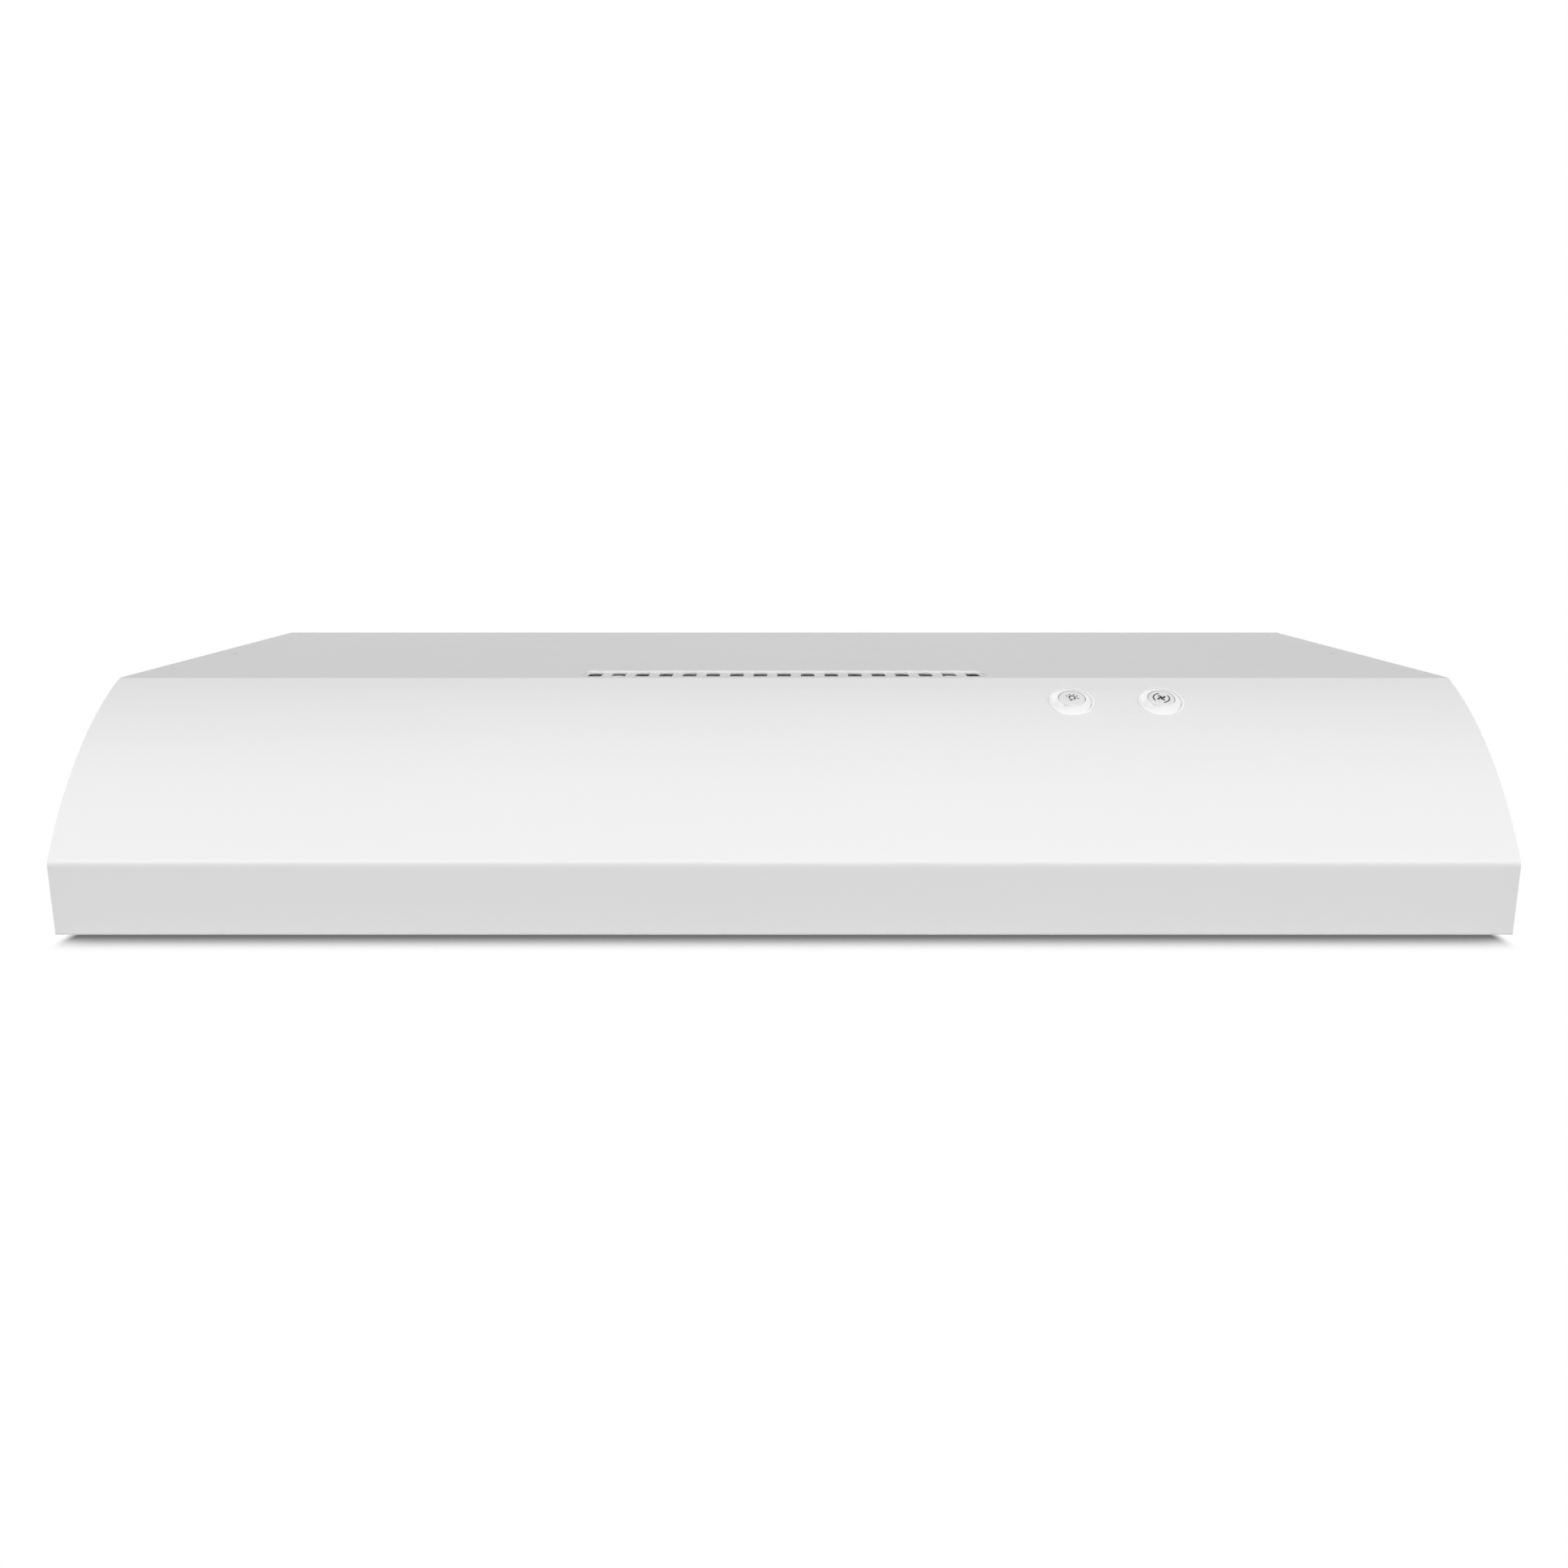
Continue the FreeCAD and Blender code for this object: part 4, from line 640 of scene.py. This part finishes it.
def make_light_symbol(place):
    """A lamp: a round outline over two short bars, and five rays."""
    bm = bmesh.new()
    place = place @ Matrix.Rotation(math.radians(SYMBOL_TURN), 4, "Z")
    stroke(bm, place, arc((0, 0.2), 1.95, -52, 232, 26), 0.95)
    stroke(bm, place, [(-1.0, -2.0), (1.0, -2.0)], 0.8)
    stroke(bm, place, [(-0.75, -3.05), (0.75, -3.05)], 0.75)
    for degrees in (10, 50, 90, 130, 170):
        x, y = math.cos(math.radians(degrees)), math.sin(math.radians(degrees))
        stroke(bm, place, [(3.15 * x, 0.2 + 3.15 * y), (4.6 * x, 0.2 + 4.6 * y)], 0.8)
    make_piece("light_symbol", bm, "symbol_ink", "black_moulding", "light_button")


def make_fan_symbol(place):
    """A fan: four curved blades about a hub, between two open arcs."""
    bm = bmesh.new()
    place = place @ Matrix.Rotation(math.radians(SYMBOL_TURN), 4, "Z")
    for start in (-62, 118):
        stroke(bm, place, arc((0, 0), 5.3, start, start + 118, 22), 0.85)
    for start in (0, 90, 180, 270):
        blade = []
        for i in range(9):
            t = i / 8
            angle = math.radians(start + 62 * t)
            blade.append((3.1 * t * math.cos(angle), 3.1 * t * math.sin(angle)))
        stroke(bm, place, blade[1:], 1.35)
    stroke(bm, place, arc((0, 0), 0.35, 0, 330, 11), 0.6, closed=True)
    make_piece("fan_symbol", bm, "symbol_ink", "black_moulding", "fan_button")


def make_buttons():
    for word, symbol in (("light", make_light_symbol), ("fan", make_fan_symbol)):
        make_bezel(word)
        symbol(make_cap(word))


# ---------------------------------------------------------------- filters
def expanded_layer(bm, low, high, height, long_way, short_way, strand, thick):
    """One layer of expanded metal: rows of zigzag strands that meet their neighbours at the bonds."""
    columns = int((high[0] - low[0]) / (long_way / 2))
    rows = int((high[1] - low[1]) / (short_way / 2))
    step_x, step_y = (high[0] - low[0]) / columns, (high[1] - low[1]) / rows
    bond, rise, tilt = 0.3, 0.9, 0.8
    reach, lean = step_y / 2 - strand * bond, thick * tilt
    for row in range(rows):
        middle, rings = low[1] + (row + 0.5) * step_y, []
        for column in range(columns + 1):
            swing = 1 if (row + column) % 2 else -1
            x, y, z = low[0] + column * step_x, middle + swing * reach, height + swing * thick * rise
            rings.append([(x * MM, (y - strand / 2) * MM, (z - lean) * MM),
                          (x * MM, (y + strand / 2) * MM, (z + lean) * MM),
                          (x * MM, (y + strand / 2) * MM, (z + lean + thick) * MM),
                          (x * MM, (y - strand / 2) * MM, (z - lean + thick) * MM)])
        skin(bm, rings)


def make_filter_mesh(side):
    """Two face layers of expanded metal and a coarser one between, inside the frame's channel."""
    low, high = [corner * 1000 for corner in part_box(f"filter_{side}_mesh")]
    bm = bmesh.new()
    inset = 0.4
    start, end = (low.x + inset, low.y + inset), (high.x - inset, high.y - inset)
    layers = [(low.z + 0.7, 12, 6, 1.5, 0.28), ((low.z + high.z) / 2, 17, 9, 2.6, 0.3),
              (high.z - 1.0, 13, 6.6, 1.7, 0.28)]
    for height, long_way, short_way, strand, thick in layers:
        expanded_layer(bm, start, end, height, long_way, short_way, strand, thick)
    make_piece(f"filter_{side}_expanded", bm, "filter_mesh", "filter_aluminium", f"filter_{side}",
               f"filter_{side}_mesh", sharp=30)


def make_filter_frame(side):
    """The rolled channel, mitred at its corners, with its two rear tabs."""
    low, high = [corner * 1000 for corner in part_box(f"filter_{side}_frame")]
    near, far = low.y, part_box(f"filter_{side}_mesh")[1].y * 1000 + 1
    bottom, top, flange, steel, bend = low.z, high.z - 1, 10, 1.0, 1.4
    outside = (arc((bend, bottom + bend), bend, 270, 180, 5) + arc((bend, top - bend), bend, 180, 90, 5))
    lip = steel / 2
    upper = arc((flange - lip, top - lip), lip, 90, -90, 6)
    lower = arc((flange - lip, bottom + lip), lip, 90, -90, 6)
    inside = [(steel, top - steel), (steel, bottom + steel)]
    section = outside + upper + inside + lower
    rings = []
    for inward, z in section:
        rings.append([Vector((x, y, z)) * MM for x, y in (
            (low.x + inward, near + inward), (high.x - inward, near + inward),
            (high.x - inward, far - inward), (low.x + inward, far - inward))])
    bm = bmesh.new()
    skin(bm, rings, loop=True)
    middle, tab_z, tab_out, tab_wide = (low.x + high.x) / 2, top + 0.5, 120, 32
    for offset in (-tab_out, tab_out):
        tab = Matrix.Translation(((middle + offset) * MM, 0, 0))
        path = [(far - 6, tab_z), (far, tab_z), (high.y - 2.5, tab_z), (high.y - 0.6, tab_z)]
        strip(bm, path, tab, [tab_wide, tab_wide, tab_wide, tab_wide - 4], 0.98)
    make_piece(f"filter_{side}_channel", bm, "filter_aluminium", "filter_aluminium", f"filter_{side}",
               f"filter_{side}_frame", sharp=40)


def make_latch(side):
    """The sprung pull: a bent strip with a nose over the pan's edge and a rounded grip."""
    low, high = [corner * 1000 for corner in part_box(f"filter_{side}_latch")]
    steel, wide = 0.8, high.x - low.x
    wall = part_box(f"filter_{side}_frame")[0].y * 1000 - steel / 2
    nose_z, grip_z, grip_end = high.z - steel / 2, low.z + steel / 2, high.y - 0.2
    path = bent([(low.y, nose_z), (wall, nose_z), (wall, grip_z), (grip_end, grip_z)], 1.3)
    path.insert(-1, (grip_end - 2, grip_z))
    widths = [wide - 5] + [wide] * (len(path) - 3) + [wide - 0.5, wide - 7]
    bm = bmesh.new()
    strip(bm, path, Matrix.Translation(((low.x + high.x) / 2 * MM, 0, 0)), widths, steel)
    body = f"filter_{side}"
    make_piece(body + "_pull", bm, "bright_steel", "bright_steel", body, body + "_latch", sharp=40)


# ---------------------------------------------------------------- lamps
def make_lamp(side):
    """The lens with its prism rings, and the reflector bulb behind it."""
    low, high = [corner * 1000 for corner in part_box(f"lamp_{side}_lens")]
    middle, pitch, window, flange_low, flange_high = (low + high) / 2, 2.0, 27.9, 3.2, 5.6
    profile = [(0, 0.3)]
    for r in [1.0 + i * pitch for i in range(13)]:
        sag = 0.0004 * r * r
        profile += [(r, 0.05 + sag), (r + pitch * 0.8, 0.45 + sag)]
    rim = (high.x - low.x) / 2
    profile += [(window, 0.6), (window, flange_low), (rim, flange_low), (rim, flange_high), (0, flange_high)]
    bm = bmesh.new()
    turn(bm, Matrix.Translation(Vector((middle.x, middle.y, low.z)) * MM), profile, 96)
    make_piece(f"lamp_{side}_prism_lens", bm, "frosted_glass", "frosted_glass", "hood", f"lamp_{side}_lens")

    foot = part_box(f"lamp_{side}_bulb")[0].z * 1000
    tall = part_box(f"lamp_{side}_socket")[0].z * 1000 - foot
    widest, neck, bowl_foot = 24.8, 11.2, 7
    profile = [(0, 0), (10, 0.2), (18, 0.8), (22.5, 1.8), (24.4, 3.2), (24.9, 5), (24.6, 6.6)]
    profile.append((widest, bowl_foot))
    for t in [i / 12 for i in range(1, 13)]:
        profile.append((widest + (neck - widest) * t ** 1.6, bowl_foot + (tall - 20) * t))
    profile += [(neck - 0.2, tall - 11), (neck - 0.2, tall), (0, tall)]
    bm = bmesh.new()
    turn(bm, Matrix.Translation(Vector((middle.x, middle.y, foot)) * MM), profile, 72)
    make_piece(f"lamp_{side}_reflector", bm, "lamp_glass", "lamp_glass", "hood", f"lamp_{side}_bulb")


# ---------------------------------------------------------------- screws
def screw_head(bm, place, radius, high):
    """A domed head with a cross recess, drawn as a disc of rings that the recess pushes down."""
    steps, rings = 64, []
    arm_half, arm_long, arm_end, recess, dome_fall = 0.13, 0.5, 0.56, 0.75, 0.55
    radii = [0.02, 0.1, 0.2, 0.3, 0.38, 0.44, 0.5, 0.58, 0.7, 0.82, 0.91, 0.97, 1.0]
    for share in radii:
        ring = []
        for i in range(steps):
            a = i * math.tau / steps
            x, y = share * math.cos(a), share * math.sin(a)
            across, along = min(abs(x), abs(y)), max(abs(x), abs(y))
            dome = high * (1 - dome_fall * share ** 2.6)
            arm = max(0.0, 1 - across / arm_half) if along < arm_long else 0.0
            slope = max(0.0, 1 - along / arm_end)
            depth = high * recess * min(arm * 2.4, 1) * min(slope * 2.2, 1)
            ring.append(point(place, x * radius, y * radius, dome - depth))
        rings.append(ring)
    for share, z in ((1.0, 0.0), (0.5, 0.0)):
        rings.append([point(place, share * radius * math.cos(i * math.tau / steps),
                            share * radius * math.sin(i * math.tau / steps), z) for i in range(steps)])
    skin(bm, rings)


def screw_shank(bm, place, radius, long):
    """A threaded shank that points down the frame's Z, to a point."""
    pitch, root, crest, tip, profile = 1.1, 0.74, 0.98, 2, [(0, 0.2)]
    turns = int((long - tip) / pitch)
    for i in range(turns):
        profile += [(radius * root, -i * pitch), (radius * crest, -(i + 0.5) * pitch)]
    profile += [(radius * 0.7, -turns * pitch), (0, -long)]
    turn(bm, place, profile, 20)


def islands(node):
    """The boxes of a node's separate solids, in millimetres."""
    bm = bmesh.new()
    bm.from_mesh(nodes[node].data)
    bmesh.ops.remove_doubles(bm, verts=bm.verts, dist=1e-6)
    left, boxes = set(bm.verts), []
    while left:
        wave, found = [left.pop()], []
        while wave:
            vert = wave.pop()
            found.append(vert.co * 1000)
            for edge in vert.link_edges:
                other = edge.other_vert(vert)
                if other in left:
                    left.remove(other)
                    wave.append(other)
        boxes.append([Vector([pick(p[k] for p in found) for k in range(3)]) for pick in (min, max)])
    bm.free()
    return sorted(boxes, key=lambda box: tuple(round(c, 1) for c in box[0]))


def make_screws():
    """Both groups of screws, each where its CAD solid is."""
    for node, facing, head, high in (("collar_screws", "back", 3.6, 2.3), ("pan_screws", "down", 4.0, 2.56)):
        bm = bmesh.new()
        for i, (low, top) in enumerate(islands(node)):
            foot = (low + top) / 2
            if facing == "back":
                foot.y, quarters, long = top.y - high, -1, top.y - high - low.y
            else:
                foot.z, quarters, long = low.z + high, 2, top.z - low.z - high
            twist = Matrix.Rotation(math.radians(23 + 57 * i), 4, "Z")
            place = Matrix.Translation(foot * MM) @ Matrix.Rotation(quarters * math.pi / 2, 4, "X") @ twist
            screw_head(bm, place, head, high)
            screw_shank(bm, place, head / 2, long)
        make_piece(node + "_cross_head", bm, "bright_steel", "bright_steel", "hood", node, sharp=35)


# ---------------------------------------------------------------- the flap
def make_flap():
    """The back-draught flap: a sheet with two long pressed beads, rolled round its rod."""
    low, high = [corner * 1000 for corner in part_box("damper_flap")]
    roll = (high.y - low.y) / 2
    middle_y, hinge_z, thick = (low.y + high.y) / 2, high.z - roll, 0.8
    columns, rows, bead, bead_half, bead_end = 110, 44, 1.1, 4.5, high.x - 26
    foot, head = low.z, hinge_z - 0.4

    def proud(x, z):
        value = 0.0
        for share in (0.32, 0.68):
            centre = foot + (head - foot) * share
            far = math.hypot(z - centre, max(abs(x) - bead_end, 0))
            value = max(value, bead * math.cos(min(far / bead_half, 1) * math.pi / 2) ** 2)
        return value

    bm = bmesh.new()
    rings = []
    for row in range(rows + 1):
        z = foot + (head - foot) * row / rows
        line = [(low.x + (high.x - low.x) * column / columns, z) for column in range(columns + 1)]
        ring = [(x, middle_y + proud(x, z) - thick / 2, z) for x, z in line]
        ring += [(x, middle_y + proud(x, z) + thick / 2, z) for x, z in reversed(line)]
        rings.append([Vector(p) * MM for p in ring])
    skin(bm, rings, ends=False)
    bm.verts.ensure_lookup_table()
    around = 2 * (columns + 1)
    for start in (0, rows * around):
        for i in range(columns):
            a, b = start + i, start + around - 1 - i
            bm.faces.new([bm.verts[k] for k in (a, a + 1, b - 1, b)])
    tube = Matrix.Translation(Vector((low.x, middle_y, hinge_z)) * MM) @ Matrix.Rotation(math.pi / 2, 4, "Y")
    inner, long = 1.55, high.x - low.x
    turn(bm, tube, [(inner, 0), (roll, 0), (roll, long), (inner, long), (inner, 0)], 28)
    make_piece("damper_beaded_flap", bm, "galvanised", "galvanised", "damper", "damper_flap", sharp=40)


# ---------------------------------------------------------------- wiring
def wire_routes():
    """The four wire bundles' points in millimetres, as the solids have them: two to the lamps, one to the
    motor and one to the wiring box. They leave the control box, whose frame is the buttons' slope."""
    slope = button_place("light") @ Matrix.Translation((30 * MM, 0, 0))
    lamp_y, socket, axis_y, axis_z = -183, 14, 105, 90

    def near(across, up):
        return tuple(point(slope, across, up, -18) * 1000)
    return [
        [near(-62, -8), near(-106, -8), (50, -158, 104), (-8, -155, 100), (-66, -150, 97), (-124, -149, 94),
         (-182, -145, 92), (-238, -140, 88), (-284, -130, 85), (-314, -126, 83), (-320, lamp_y + 36, 82),
         (-320, lamp_y + socket, 82)],
        [near(62, -8), near(80, -8), (314, -144, 108), (321, -129, 98), (322, -130, 88),
         (320, lamp_y + 36, 82), (320, lamp_y + socket, 82)],
        [near(-62, 10), near(-92, 10), (98, -116, 112), (70, -70, 107), (48, -26, 109), (22, 10, 103),
         (0, axis_y - 66, axis_z), (0, axis_y - 38, axis_z)],
        [near(62, 10), near(92, 10), (340, -98, 126), (352, -34, 124), (356, 20, 120), (352, 66, 116),
         (350, 106, 111), (350, 140, 111)],
    ]


def smooth_line(route):
    """Points along one smooth spline that has the route's points as its control points."""
    curve = bpy.data.curves.new("route", "CURVE")
    curve.dimensions = "3D"
    curve.resolution_u = 24
    spline = curve.splines.new("NURBS")
    spline.points.add(len(route) - 1)
    for spot, p in zip(spline.points, route):
        spot.co = (*[c * MM for c in p], 1)
    spline.order_u = 3
    spline.use_endpoint_u = True
    holder = bpy.data.objects.new("route", curve)
    mesh = bpy.data.meshes.new_from_object(holder)
    line = [v.co.copy() for v in mesh.vertices]
    bpy.data.objects.remove(holder)
    bpy.data.meshes.remove(mesh)
    bpy.data.curves.remove(curve)
    return line


def sleeve(bm, line, crest, trough, pitch):
    """A corrugated tube along a line, with two rings to each corrugation."""
    lengths = [0.0]
    for a, b in zip(line, line[1:]):
        lengths.append(lengths[-1] + (b - a).length * 1000)
    count = int(lengths[-1] / (pitch / 2))
    rings, segment, side = [], 0, Vector((0, 0, 1))
    sides = 12
    angles = [k * math.tau / sides for k in range(sides)]
    for i in range(count + 1):
        at = lengths[-1] * i / count
        while segment < len(line) - 2 and lengths[segment + 1] < at:
            segment += 1
        a, b = line[segment], line[segment + 1]
        share = (at - lengths[segment]) / max(lengths[segment + 1] - lengths[segment], 1e-9)
        run = (b - a).normalized()
        side = (side - run * side.dot(run)).normalized()
        other = run.cross(side)
        centre = a.lerp(b, share)
        radius = (crest if i % 2 else trough) * MM
        rings.append([centre + (side * math.cos(t) + other * math.sin(t)) * radius for t in angles])
    skin(bm, rings)


def make_conduit():
    """Corrugated black sleeves along the wire routes."""
    bm = bmesh.new()
    for route in wire_routes():
        sleeve(bm, smooth_line(route), crest=2.6, trough=2.1, pitch=1.5)
    make_piece("wire_sleeves", bm, "wire_sleeve", "wire_sleeve", "hood", "wire_harness", sharp=60)


def make_pieces():
    make_buttons()
    for side in ("left", "right"):
        make_filter_mesh(side)
        make_filter_frame(side)
        make_latch(side)
        make_lamp(side)
    make_screws()
    make_flap()
    make_conduit()


make_camera()
make_studio()
MATERIALS = make_materials()
dress_nodes(MATERIALS)
make_pieces()
